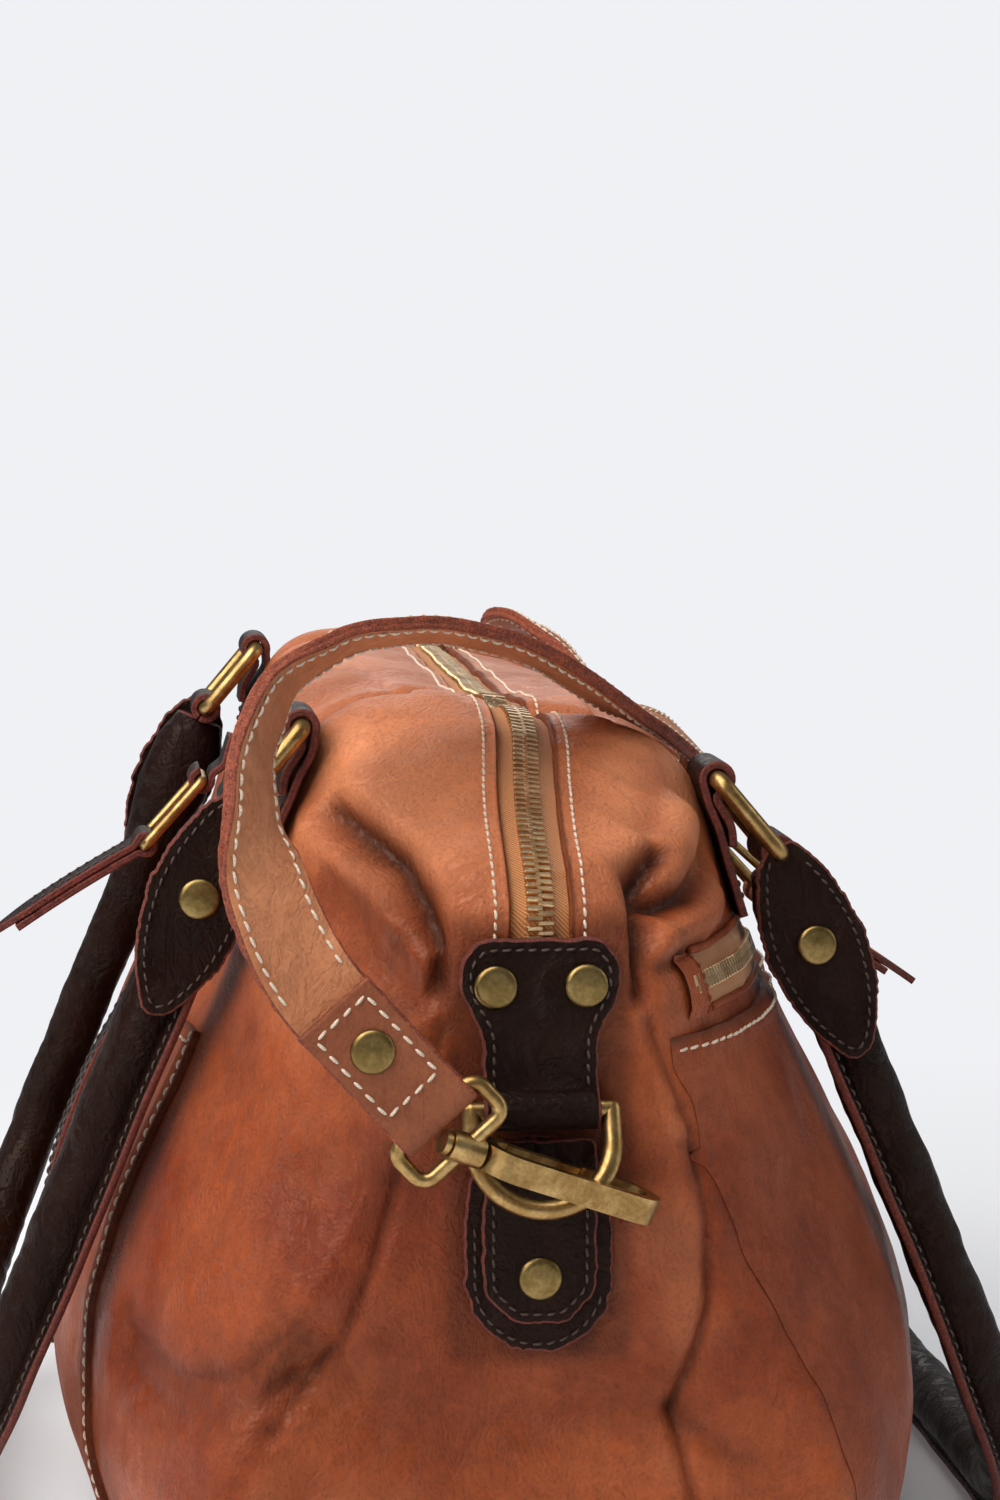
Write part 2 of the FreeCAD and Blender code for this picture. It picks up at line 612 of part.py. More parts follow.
patch_front = size("patch_thickness")
tail_front = patch_front + LEATHER
tail_half = size("tail_width") / 2
patch = end_plate(oval(size("patch_width"), size("patch_bottom"), size("patch_top")),
                  0, patch_front)
tail_low, tail_high = size("tail_bottom"), size("tail_top")
tail = end_plate([(-tail_half, tail_low + 0.5 * tail_half), (-0.45 * tail_half, tail_low),
                  (0.45 * tail_half, tail_low), (tail_half, tail_low + 0.5 * tail_half),
                  (tail_half, tail_high), (-tail_half, tail_high)], patch_front, tail_front)
bar_hole = size("d_ring_wire") / 2 + size("pin_clearance")
bar_z = size("d_ring_height")
bar_y = -END - GAP - bar_hole - LEATHER
neck_half, top_half = size("tab_neck_width") / 2, size("tab_width") / 2
shoulder_z, tab_top = size("tab_shoulder"), size("tab_top")
tab = end_plate([(-neck_half, bar_z), (neck_half, bar_z), (neck_half, shoulder_z),
                 (top_half, shoulder_z + 8), (top_half, tab_top - 6), (top_half - 6, tab_top),
                 (6 - top_half, tab_top), (-top_half, tab_top - 6), (-top_half, shoulder_z + 8),
                 (-neck_half, shoulder_z)], GAP, GAP + 2 * LEATHER)
tab = tab.fuse(rod(V(-neck_half, bar_y, bar_z), V(neck_half, bar_y, bar_z),
                   bar_hole + LEATHER))
tab = tab.cut(rod(V(-2 * neck_half, bar_y, bar_z), V(2 * neck_half, bar_y, bar_z), bar_hole))
both_ends("tab_patch", patch)
both_ends("tab_tail", tail)
both_ends("tab", tab.removeSplitter())
tab_face = -END - GAP - 2 * LEATHER
caps = [rivet_cap(V(x, tab_face, size("tab_rivet_height")), V(0, -1, 0))
        for x in (-size("tab_rivet_spacing") / 2, size("tab_rivet_spacing") / 2)]
caps.append(rivet_cap(V(0, -END - tail_front, size("tail_rivet_height")), V(0, -1, 0)))
both_ends("tab_rivets", Part.Compound(caps))


def d_ring(name):
    """D-ring in its local XZ plane: straight bar along X at the origin, bow below it."""
    wire, bow, leg = "Sizes.d_ring_wire", "Sizes.d_ring_radius", "Sizes.d_ring_side"
    parts = [bound("Part::Torus", name + "_bow", {
        "Radius1": bow, "Radius2": wire + " / 2", "Placement.Base.z": "-" + leg})]
    parts[0].Angle3 = 180
    parts[0].Placement = FreeCAD.Placement(V(), FreeCAD.Rotation(V(1, 0, 0), -90))
    parts[0].setExpression("Placement.Base.z", "-" + leg)
    bar = bound("Part::Cylinder", name + "_bar", {"Radius": wire + " / 2", "Height": "2 * " + bow})
    bar.Placement = FreeCAD.Placement(V(), FreeCAD.Rotation(V(0, 1, 0), 90))
    bar.setExpression("Placement.Base.x", "-" + bow)
    parts.append(bar)
    for index, sign in enumerate((1, -1)):
        parts.append(bound("Part::Cylinder", "%s_leg%d" % (name, index), {
            "Radius": wire + " / 2", "Height": leg,
            "Placement.Base.x": "%d * %s" % (sign, bow), "Placement.Base.z": "-" + leg}))
        parts.append(bound("Part::Sphere", "%s_elbow%d" % (name, index), {
            "Radius": wire + " / 2", "Placement.Base.x": "%d * %s" % (sign, bow)}))
    return joined("Part::MultiFuse", name, parts)


near_turn = FreeCAD.Rotation(V(1, 0, 0), -size("d_ring_tilt"))
for end in (-1, 1):
    ring = d_ring(end_names[end] + "_d_ring")
    ring.Placement = FreeCAD.Placement(V(0, bar_y, bar_z), near_turn)
    if end > 0:
        ring.Placement = FreeCAD.Placement(V(0, 0, 0), turned) * ring.Placement
    keep(ring, end_names[end] + "_d_ring")

# ---------------------------------------------------------------- clasps
clasp_bar = V(size("clasp_bar_x"), size("clasp_bar_y"), size("clasp_bar_z"))
turn_angle = math.radians(size("clasp_turn"))
# along the bar, and from the bar up the strap
bar_dir = V(math.cos(turn_angle), 0, math.sin(turn_angle))
strap_dir = V(-math.sin(turn_angle), 0, math.cos(turn_angle))
hook_dir = V(size("hook_forward"), size("hook_inward"), -size("hook_down")).normalize()
loop_place = axes_place(clasp_bar, bar_dir, strap_dir)
swivel_seat = clasp_bar - strap_dir * size("loop_pitch")


def clasp_loop(name):
    """The strap's rectangular loop with the swivel's socket on its outer bar."""
    ring = wire_ring(name + "_ring", "Sizes.loop_inner_width", "Sizes.loop_pitch",
                     "Sizes.loop_wire", "Sizes.loop_wire * 0.4")
    ring.Placement = loop_place
    socket = bound("Part::Cylinder", name + "_socket", {
        "Radius": "Sizes.swivel_diameter / 2", "Height": "Sizes.swivel_length"})
    socket.Placement = axes_place(swivel_seat - hook_dir * (size("swivel_length") / 2),
                                  V(0, 1, 0), hook_dir)
    bore = bound("Part::Cylinder", name + "_bore", {
        "Radius": "Sizes.swivel_diameter / 4 + Sizes.pin_clearance / 4",
        "Height": "Sizes.swivel_length * 3"})
    bore.Placement = axes_place(swivel_seat - hook_dir * (size("swivel_length") * 1.5),
                                V(0, 1, 0), hook_dir)
    lump = joined("Part::MultiFuse", name + "_lump", [ring, socket])
    return joined("Part::Cut", name, [lump, bore])


# The eye of the hook lies in the plane of hook_dir and the direction below.
hook_side = V(0, -1, 0)
hook_side = (hook_side - hook_dir * hook_side.dot(hook_dir)).normalize()
hook_normal = hook_dir.cross(hook_side)
hook_start = size("swivel_length") / 2 + size("seat_gap")


def hook_slab(first, last, low, high, depth):
    """A block in the hook's own directions: along, across the eye and through it."""
    block = Part.makeBox(last - first, high - low, depth, V(first, low, -depth / 2))
    block.Placement = axes_place(swivel_seat, hook_dir, hook_normal)
    return block


def stadium(first, last, half, depth):
    """A round-ended plate in the hook's own directions."""
    middle = Part.makeBox(last - first - 2 * half, 2 * half, depth,
                          V(first + half, -half, -depth / 2))
    caps = [Part.makeCylinder(half, depth, V(x, 0, -depth / 2))
            for x in (first + half, last - half)]
    plate = middle.fuse(caps)
    plate.Placement = axes_place(swivel_seat, hook_dir, hook_normal)
    return plate


hook_half, rail = size("hook_width") / 2, size("hook_rail")
depth = size("hook_depth")
hook_end = hook_start + size("hook_length")
eye = stadium(hook_start, hook_end, hook_half, depth).cut(
    stadium(hook_start + rail, hook_end - rail, hook_half - rail, 2 * depth))
clear = size("gate_clearance")
gate_first = hook_start + hook_half
gate_last = gate_first + size("gate_length")
gate_slot = hook_slab(gate_first - clear, gate_last + clear, -hook_half - 1,
                      rail - hook_half + clear, 2 * depth)
spindle_radius = size("swivel_diameter") / 4 - size("pin_clearance") / 4
spindle = rod(swivel_seat - hook_dir * (size("swivel_length") / 2 + 1.5),
              swivel_seat + hook_dir * (hook_start + rail / 2), spindle_radius)
button = rod(swivel_seat - hook_dir * (size("swivel_length") / 2 + 2.2),
             swivel_seat - hook_dir * (size("swivel_length") / 2 + size("seat_gap")),
             spindle_radius * 1.6)
hook = eye.cut(gate_slot).fuse([spindle, button]).removeSplitter()
gate_depth = depth - 1.0
gate_hinge = (swivel_seat + hook_dir * (gate_first + rail / 2)
              + hook_side * (rail / 2 - hook_half))
gate_pin = Part.makeCylinder(rail / 2, gate_depth, gate_hinge - hook_normal * (gate_depth / 2),
                             hook_normal)
gate = hook_slab(gate_first + rail / 2, gate_last, -hook_half, rail - hook_half,
                 gate_depth).fuse(gate_pin).removeSplitter()
for end in (-1, 1):
    label = end_names[end] + "_clasp_loop"
    loop = clasp_loop(label)
    if end > 0:
        loop.Placement = FreeCAD.Placement(V(0, 0, 0), turned)
    keep(loop, label)
both_ends("hook", hook)
both_ends("gate", gate)

# ---------------------------------------------------------------- shoulder strap
strap_half = size("strap_width") / 2
strap_thick = size("strap_thickness")
patch_thick = size("strap_patch_thickness")
loop_hole = size("loop_wire") / 2 + size("pin_clearance")
fold_radius = strap_thick / 2 + patch_thick
strap_start = fold_radius + size("loop_wire")


def strap_section(centre, along, normal, half, thick):
    """Rectangle across a strap at one place of its route."""
    side = V(normal).cross(along).normalize()
    up = V(along).cross(side).normalize()
    corners = [centre + side * (a * half) + up * (b * thick / 2)
               for a, b in ((-1, -1), (1, -1), (1, 1), (-1, 1))]
    return Part.makePolygon(corners + [corners[0]])


def strap_solid(points, normals, half, thick, first=None, last=None, steps=6):
    """Flat strap through the given points, facing the given normals; ends may be straight."""
    curve = Part.BSplineCurve()
    if first is None:
        curve.interpolate(points)
    else:
        curve.interpolate(Points=points, InitialTangent=first, FinalTangent=last)
    params = [curve.parameter(p) for p in points]
    wires = []
    for index in range(len(points) - 1):
        for part in range(steps if index < len(points) - 2 else steps + 1):
            share = part / steps
            value = params[index] + (params[index + 1] - params[index]) * share
            blend = share * share * (3 - 2 * share)
            normal = normals[index] * (1 - blend) + normals[index + 1] * blend
            wires.append(strap_section(curve.value(value), V(curve.tangent(value)[0]),
                                       normal, half, thick))
    return Part.makeLoft(wires, True, True)


def on_flank(y, z, lift):
    """A point off the back flank and the skin's normal there."""
    point, normal = skin_point(y, z, 1)
    return point + normal * lift, normal


patch_end = clasp_bar + strap_dir * size("strap_patch_length")
# The route over one end, from the patch to the top, chosen by hand: places, then facings.
climb = [(patch_end, V(0, 1, 0)), (V(-78, clasp_bar.y + 3, 246), V(-0.3, 0.9, -0.15)),
         (V(-82, clasp_bar.y + 12, 270), V(-0.84, 0.5, -0.2)),
         (V(-77, -229, 292), V(-0.9, 0.36, 0.1)), (V(-61, -208, 307), V(-0.7, 0.2, 0.68)),
         (V(-38, -192, 313), V(-0.2, 0.25, 0.95)), (V(-10, -176, 310), V(0.2, 0.25, 0.94)),
         (V(16, -158, 299), V(0.45, 0.2, 0.87)), (V(40, -134, 283), V(0.5, 0.15, 0.85))]
rest = [on_flank(y, z, lift) for y, z, lift in
        ((-100, 266, 6.0), (-56, 250, 6.0), (0, 244, 7.5), (56, 250, 6.0), (100, 268, 6.0))]
descent = [(V(46, 136, 289), V(0.5, 0, 0.86)), (V(40, 160, 290), V(0.3, 0.15, 0.94)),
           (V(44, 186, 281), V(0.25, 0.4, 0.88)), (V(58, 212, 269), V(0.5, 0.5, 0.7)),
           (V(72, 232, 257.5), V(0.7, 0.6, 0.35)), (V(79, 247, 248), V(0.6, 0.75, 0.15)),
           (V(77, 256, 237), V(0.3, 0.93, 0.1)),
           (V(-patch_end.x, -patch_end.y, patch_end.z), V(0, 1, 0))]
route = climb + rest + descent
strap_run = strap_solid([p for p, n in route], [n for p, n in route], strap_half, strap_thick,
                        strap_dir, V(strap_dir.x, 0, -strap_dir.z))
ends = []
for turn in (0, 180):
    end_piece = Part.makeLoft([strap_section(clasp_bar + strap_dir * place, strap_dir,
                                             V(0, 1, 0), strap_half, strap_thick)
                               for place in (strap_start, size("strap_patch_length"))], True)
    end_piece.rotate(V(0, 0, 0), V(0, 0, 1), turn)
    ends.append(end_piece)
shaped("shoulder_strap", strap_run.fuse(ends).removeSplitter())


def strap_patch():
    """Folded leather end of the strap: a loop round the clasp's bar and two cheeks."""
    length = size("strap_patch_length")
    half_bar = bar_dir * (strap_half - 0.4)
    place = axes_place(clasp_bar, bar_dir, strap_dir)
    block = Part.makeBox(2 * strap_half - 0.8, 2 * fold_radius, length,
                         V(0.4 - strap_half, -fold_radius, 0))
    block.Placement = place
    slot = Part.makeBox(4 * strap_half, strap_thick, length,
                        V(-2 * strap_half, -strap_thick / 2, strap_start))
    slot.Placement = place
    fold = rod(clasp_bar - half_bar, clasp_bar + half_bar, fold_radius + 0.6)
    body = block.fuse(fold).cut(slot)
    return body.cut(rod(clasp_bar - half_bar * 2, clasp_bar + half_bar * 2, loop_hole))


both_ends("strap_patch", strap_patch().removeSplitter())
rivet_spot = clasp_bar + strap_dir * size("strap_rivet_place")
both_ends("strap_rivet", rivet_cap(rivet_spot - V(0, fold_radius, 0), V(0, -1, 0)))

# ---------------------------------------------------------------- belts
buckle_wire = size("buckle_wire")
belt_width = size("belt_width")
tongue_radius = size("tongue_diameter") / 2


def belt_tail(pivot, side):
    """Short strap folded round the buckle's outer bar, its tail standing out."""
    hole = buckle_wire / 2 + size("pin_clearance")
    half = V(0, belt_width / 2, 0)
    lean = size("belt_tail_lean")
    end = hang(pivot, size("belt_tail_length"), lean, side)
    bend = hang(pivot, size("belt_tail_length") * 0.6, lean - 4, side)
    normal = V(math.cos(math.radians(lean)), 0, side * math.sin(math.radians(lean))) * side
    strip = strap_solid([pivot, bend, end], [normal] * 3, belt_width / 2, 2 * LEATHER)
    body = strip.fuse(rod(pivot - half, pivot + half, hole + LEATHER))
    return body.cut(rod(pivot - half * 2, pivot + half * 2, hole)).removeSplitter()


for side in (-1, 1):
    name = side_names[side]
    seat_z = slouched(side * size("shoulder_half_width"), size("belt_seat_height"))
    notch = size("tongue_diameter") + 2.0 if side > 0 else 0.0
    shaped(name + "_belt_upper", chape(0, seat_z, side, buckle_wire, belt_width,
                                       size("belt_top_height"), notch))
    pivot = loop_seat(0, seat_z, side, buckle_wire)
    buckle = wire_ring(name + "_buckle", "Sizes.belt_width + 2 * Sizes.pin_clearance",
                       "Sizes.buckle_pitch", "Sizes.buckle_wire", "Sizes.buckle_wire * 0.2")
    buckle.Placement = hung_place(pivot, size("buckle_lean"), side)
    keep(buckle, name + "_buckle")
    outer = hang(pivot, size("buckle_pitch"), size("buckle_lean"), side)
    shaped(name + "_belt_tail", belt_tail(outer, side))
    low_top, low_foot = size("belt_low_top"), size("belt_low_foot")
    on_pocket = size("pocket_thickness") + GAP
    strip = layer(on_pocket, on_pocket + LEATHER).common(
        side_span(side, -belt_width / 2, belt_width / 2, low_foot, low_top))
    shaped(name + "_belt_lower", strip)
    if side > 0:
        collar = rod(pivot - V(0, 1.6, 0), pivot + V(0, 1.6, 0),
                     buckle_wire / 2 + size("pin_clearance") / 2 + 1.8)
        reach = hang(pivot, size("buckle_pitch") + 3.0, size("buckle_lean"), side)
        normal = V(math.cos(math.radians(size("buckle_lean"))), 0,
                   math.sin(math.radians(size("buckle_lean"))))
        low = normal * (buckle_wire / 2 + tongue_radius)
        high = normal * (buckle_wire / 2 + size("pin_clearance") + LEATHER + tongue_radius + 0.6)
        prong = rod(pivot + low, reach + high, tongue_radius)
        tongue = collar.fuse(prong).cut(rod(pivot - V(0, 4, 0), pivot + V(0, 4, 0),
                                            buckle_wire / 2 + size("pin_clearance") / 2))
        shaped("back_buckle_tongue", tongue.removeSplitter())

# ---------------------------------------------------------------- checks and export
doc.recompute()
for obj in doc.Objects:
    if "Invalid" in obj.State or "Error" in obj.State:
        raise RuntimeError("%s did not recompute: %s" % (obj.Label, obj.State))
labels = [obj.Label for obj in nodes]
if len(set(labels)) != len(labels):
    raise RuntimeError("two nodes share a name")
for obj in nodes:
    if obj.Shape.isNull() or not obj.Shape.isValid() or not obj.Shape.Solids:
        raise RuntimeError("%s has no valid solid" % obj.Label)
for obj in nodes:
    obj.Shape.exportStep("parts/%s.step" % obj.Label)
print("%d nodes" % len(nodes))
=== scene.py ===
"""Looks of the leather travel bag: sewn leather, brass fittings, zips, floor, light and camera."""
import math
import bpy
import mathutils
import numpy as np
from mathutils import Matrix, Vector
from mathutils.bvhtree import BVHTree


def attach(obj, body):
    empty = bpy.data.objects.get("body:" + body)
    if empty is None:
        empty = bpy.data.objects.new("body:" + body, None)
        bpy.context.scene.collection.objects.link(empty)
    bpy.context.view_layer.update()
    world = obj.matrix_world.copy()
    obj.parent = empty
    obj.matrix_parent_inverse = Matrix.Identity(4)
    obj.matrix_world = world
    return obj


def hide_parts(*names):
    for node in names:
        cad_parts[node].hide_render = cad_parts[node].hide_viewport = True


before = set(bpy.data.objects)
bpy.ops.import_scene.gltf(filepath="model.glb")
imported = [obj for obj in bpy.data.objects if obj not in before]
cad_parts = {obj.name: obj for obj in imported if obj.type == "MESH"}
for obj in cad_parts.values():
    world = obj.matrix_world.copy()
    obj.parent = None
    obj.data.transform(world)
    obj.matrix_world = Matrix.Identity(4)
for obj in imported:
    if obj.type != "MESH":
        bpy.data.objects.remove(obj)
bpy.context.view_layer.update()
scene = bpy.context.scene
MM = 0.001


# ---------------------------------------------------------------- small maths, in millimetres
def vec(*values):
    return np.array(values, float)


def unit(v):
    v = np.asarray(v, float)
    return v / np.maximum(np.linalg.norm(v, axis=-1, keepdims=True), 1e-9)


def ease(low, high, value):
    """0 below low, 1 above high and smooth between them."""
    share = np.clip((np.asarray(value, float) - low) / (high - low), 0, 1)
    return share * share * (3 - 2 * share)


def waves(points, length, seed, count=14):
    """Smooth uneven field of about -1 to 1 whose bumps are about length apart."""
    source = np.random.default_rng(seed)
    directions = unit(source.normal(size=(count, 3)))
    rates = 2 * math.pi / length * source.uniform(0.6, 1.5, count)
    phases = source.uniform(0, 2 * math.pi, count)
    total = np.zeros(points.shape[:-1])
    for direction, rate, phase in zip(directions, rates, phases):
        total += np.sin(points @ direction * rate + phase)
    return total / math.sqrt(count / 2) / 1.6


def lengths(points):
    """Length along a polyline at each of its points."""
    return np.concatenate([[0], np.cumsum(np.linalg.norm(np.diff(points, axis=0), axis=1))])


def sampled(points, source, wanted):
    """Points of a polyline, given at the places source, read at the wanted places."""
    return np.stack([np.interp(wanted, source, points[:, k]) for k in range(3)], axis=1)


def smoothed(line, times):
    """A line whose inner points are drawn halfway to their neighbours' middle, in place."""
    for _ in range(times):
        line[1:-1] += 0.5 * ((line[:-2] + line[2:]) / 2 - line[1:-1])
    return line


def raised(points):
    """Points of a plane as points in space."""
    return np.pad(points, ((0, 0), (0, 1)))


def near_path(points, path):
    """Distance to a polyline, the share along it, and the offset from its nearest point."""
    path = np.asarray(path, float)
    starts = lengths(path)
    spans = np.linalg.norm(np.diff(path, axis=0), axis=1)
    best = np.full(len(points), 1e9)
    share = np.zeros(len(points))
    offset = np.zeros((len(points), 3))
    along = np.zeros((len(points), 3))
    for index, span in enumerate(spans):
        step = (path[index + 1] - path[index]) / span
        place = np.clip((points - path[index]) @ step, 0, span)
        delta = points - (path[index] + place[:, None] * step)
        distance = np.linalg.norm(delta, axis=1)
        closer = distance < best
        best[closer] = distance[closer]
        share[closer] = (starts[index] + place[closer]) / starts[-1]
        offset[closer] = delta[closer]
        along[closer] = step
    return best, share, offset, along


def curve_through(points, count, first=None, last=None):
    """Evenly shared points on a smooth curve through the given ones."""
    points = np.asarray(points, float)
    knots = lengths(points)
    size = len(points)
    system = np.zeros((size, size))
    right = np.zeros((size, 3))
    for index in range(1, size - 1):
        before = knots[index] - knots[index - 1]
        after = knots[index + 1] - knots[index]
        system[index, index - 1] = after
        system[index, index] = 2 * (before + after)
        system[index, index + 1] = before
        right[index] = 3 * (after * (points[index] - points[index - 1]) / before
                            + before * (points[index + 1] - points[index]) / after)
    for index, given, neighbour in ((0, first, 1), (size - 1, last, size - 2)):
        system[index, index] = 1
        if given is None:
            right[index] = (points[max(index, neighbour)] - points[min(index, neighbour)]) / abs(
                knots[neighbour] - knots[index])
        else:
            right[index] = unit(given)
    slopes = np.linalg.solve(system, right)
    places = np.linspace(0, knots[-1], count)
    cell = np.clip(np.searchsorted(knots, places, side="right") - 1, 0, size - 2)
    width = (knots[cell + 1] - knots[cell])[:, None]
    t = (places[:, None] - knots[cell][:, None]) / width
    return ((2 * t**3 - 3 * t**2 + 1) * points[cell] + (t**3 - 2 * t**2 + t) * width * slopes[cell]
            + (3 * t**2 - 2 * t**3) * points[cell + 1] + (t**3 - t**2) * width * slopes[cell + 1])


def evenly(points, spacing):
    """The same polyline with points a fixed spacing apart."""
    points = np.asarray(points, float)
    places = lengths(points)
    count = max(int(round(places[-1] / spacing)), 2)
    return sampled(points, places, np.linspace(0, places[-1], count + 1))


def tangents(points):
    return unit(np.gradient(points, axis=0))


# ---------------------------------------------------------------- materials
class Shader:
    """A principled material with short ways to add the nodes that a finish needs."""

    def __init__(self, name):
        self.material = bpy.data.materials.new(name)
        self.material.use_nodes = True
        self.tree = self.material.node_tree
        self.tree.nodes.clear()
        self.output = self.tree.nodes.new("ShaderNodeOutputMaterial")
        self.base = self.tree.nodes.new("ShaderNodeBsdfPrincipled")
        self.tree.links.new(self.base.outputs[0], self.output.inputs[0])
        self.place = self.tree.nodes.new("ShaderNodeTexCoord").outputs["Object"]

    def put(self, socket, value):
        if isinstance(value, bpy.types.NodeSocket):
            self.tree.links.new(value, socket)
        else:
            socket.default_value = value

    def set(self, **values):
        for name, value in values.items():
            self.put(self.base.inputs[name.replace("_", " ")], value)

    def node(self, kind, settings=None, **inputs):
        node = self.tree.nodes.new(kind)
        for name, value in (settings or {}).items():
            setattr(node, name, value)
        for name, value in inputs.items():
            self.put(node.inputs[name.replace("_", " ")], value)
        return node

    def noise(self, scale, detail=4.0, rough=0.55, place=None, twist=0.0):
        return self.node("ShaderNodeTexNoise", Vector=place or self.place, Scale=scale,
                         Detail=detail, Roughness=rough, Distortion=twist).outputs["Fac"]

    def cells(self, scale):
        return self.node("ShaderNodeTexVoronoi", {"feature": "SMOOTH_F1"},
                         Vector=self.place, Scale=scale).outputs["Distance"]

    def stretched(self, x, y, z):
        node = self.node("ShaderNodeMapping", Vector=self.place)
        node.inputs["Scale"].default_value = (x, y, z)
        return node.outputs[0]

    def remap(self, value, low, high, to_low=0.0, to_high=1.0):
        return self.node("ShaderNodeMapRange", Value=value, From_Min=low, From_Max=high,
                         To_Min=to_low, To_Max=to_high).outputs[0]

    def maths(self, operation, first, second):
        node = self.node("ShaderNodeMath", {"operation": operation})
        self.put(node.inputs[0], first)
        self.put(node.inputs[1], second)
        return node.outputs[0]

    def mix(self, factor, first, second):
        node = self.node("ShaderNodeMix", {"data_type": "RGBA"})
        self.put(node.inputs[0], factor)
        self.put(node.inputs[6], first)
        self.put(node.inputs[7], second)
        return node.outputs[2]

    def painted(self, name):
        return self.node("ShaderNodeAttribute", {"attribute_name": name}).outputs["Fac"]

    def bump(self, height, strength, depth, below=None):
        node = self.node("ShaderNodeBump", Height=height, Strength=strength,
                         Distance=depth * MM)
        if below is not None:
            self.put(node.inputs["Normal"], below)
        return node.outputs[0]


def rgb(red, green, blue):
    """Screen colour, 0 to 255, as linear light."""
    values = [c / 255 for c in (red, green, blue)]
    return tuple(c / 12.92 if c < 0.04045 else ((c + 0.055) / 1.055) ** 2.4
                 for c in values) + (1.0,)


def leather(name, dark, middle, light, grain=900.0, depth=0.16, rough=(0.4, 0.62),
            wrinkle=0.5, gloss=0.26, mottle=16.0):
    """Grained leather, mottled at random; a painted highlight lightens it by the point attribute lift,
    and painted shade darkens it by a second point attribute.
    """
    s = Shader(name)
    patches = s.remap(s.noise(mottle, 5.0, 0.6, twist=0.4), 0.34, 0.68)
    fine = s.remap(s.noise(210.0, 6.0, 0.65), 0.3, 0.7)
    colour = s.mix(patches, middle, light)
    colour = s.mix(s.maths("MULTIPLY", fine, 0.28), colour, dark)
    # painted highlight: a pale tone where the lift attribute is high
    colour = s.mix(s.painted("lift"), colour, rgb(204, 126, 84))
    # painted shade: the dark tone where the painted shade attribute is high
    colour = s.mix(s.painted("shade_and_mottle"), colour, dark)
    pores = s.cells(grain)
    pebbles = s.remap(pores, 0.0, 0.55)
    fibre = s.noise(grain * 2.2, 3.0, 0.6)
    lines = s.noise(85.0, 7.0, 0.62, place=s.stretched(1.0, 1.0, 0.55), twist=1.6)
    crease = s.remap(s.maths("ABSOLUTE", s.maths("SUBTRACT", lines, 0.5), 0.0), 0.0, 0.06)
    normal = s.bump(crease, 0.55 * wrinkle, 0.7)
    normal = s.bump(pebbles, 0.8, depth, normal)
    normal = s.bump(fibre, 0.3, depth * 0.5, normal)
    shine = s.remap(s.noise(38.0, 4.0, 0.6), 0.3, 0.7, rough[0], rough[1])
    colour = s.mix(s.maths("MULTIPLY", s.remap(pores, 0.45, 0.1), 0.18), colour, dark)
    s.set(Base_Color=colour, Roughness=shine, Normal=normal)
    s.base.inputs["Specular IOR Level"].default_value = gloss
    s.base.inputs["Specular Tint"].default_value = (1.0, 0.78, 0.64, 1.0)
    return s.material


def raw_edge(name, dark, light):
    """Cut edge of thick leather: fibrous, speckled and matt."""
    s = Shader(name)
    speck = s.remap(s.noise(1500.0, 5.0, 0.7), 0.38, 0.62)
    blots = s.remap(s.noise(420.0, 3.0, 0.6), 0.4, 0.62)
    colour = s.mix(speck, dark, light)
    colour = s.mix(s.maths("MULTIPLY", blots, 0.45), colour, dark)
    normal = s.bump(s.noise(1100.0, 6.0, 0.7), 0.9, 0.5)
    s.set(Base_Color=colour, Roughness=0.72, Normal=normal)
    return s.material


def brass(name, dark, middle, light, brushed=1.0):
    """Antique brass: lighter and darker in uneven patches, with fine scratches."""
    s = Shader(name)
    tarnish = s.remap(s.noise(95.0, 6.0, 0.65, twist=0.8), 0.4, 0.68)
    fine = s.remap(s.noise(900.0, 4.0, 0.6), 0.35, 0.7)
    colour = s.mix(tarnish, middle, light)
    colour = s.mix(s.maths("MULTIPLY", fine, 0.35), colour, dark)
    scratches = s.noise(500.0, 3.0, 0.6, place=s.stretched(1.0, 6.0, 1.0))
    shine = s.remap(s.noise(160.0, 5.0, 0.6), 0.3, 0.7, 0.24, 0.44)
    normal = s.bump(scratches, 0.22 * brushed, 0.12)
    normal = s.bump(s.noise(240.0, 3.0, 0.5), 0.15, 0.25, normal)
    s.set(Base_Color=colour, Metallic=1.0, Roughness=shine, Normal=normal)
    return s.material


def thread(name, colour, shade):
    """Waxed twisted thread."""
    s = Shader(name)
    twist = s.noise(1800.0, 2.0, 0.5)
    s.set(Base_Color=s.mix(s.remap(twist, 0.3, 0.7), shade, colour), Roughness=0.6,
          Normal=s.bump(twist, 0.5, 0.2))
    return s.material


def twill(name, colour, shade):
    """Woven zip tape with a diagonal rib."""
    s = Shader(name)
    ribs = s.node("ShaderNodeTexWave", {"wave_type": "BANDS", "bands_direction": "DIAGONAL"},
                  Vector=s.place, Scale=420.0, Distortion=0.6, Detail=2.0, Detail_Scale=2.0)
    rib = ribs.outputs["Fac"]
    dirt = s.remap(s.noise(70.0, 5.0, 0.6), 0.35, 0.7)
    tone = s.mix(rib, shade, colour)
    tone = s.mix(s.maths("MULTIPLY", dirt, 0.3), tone, shade)
    s.set(Base_Color=tone, Roughness=0.85, Normal=s.bump(rib, 0.6, 0.25), Sheen_Weight=0.2)
    return s.material


def plain_matt(name, colour, shade, scale=300.0):
    """Matt surface with a fine uneven weave."""
    s = Shader(name)
    weave = s.noise(scale, 4.0, 0.6)
    s.set(Base_Color=s.mix(s.remap(weave, 0.3, 0.7), shade, colour), Roughness=0.9,
          Normal=s.bump(weave, 0.4, 0.3))
    return s.material


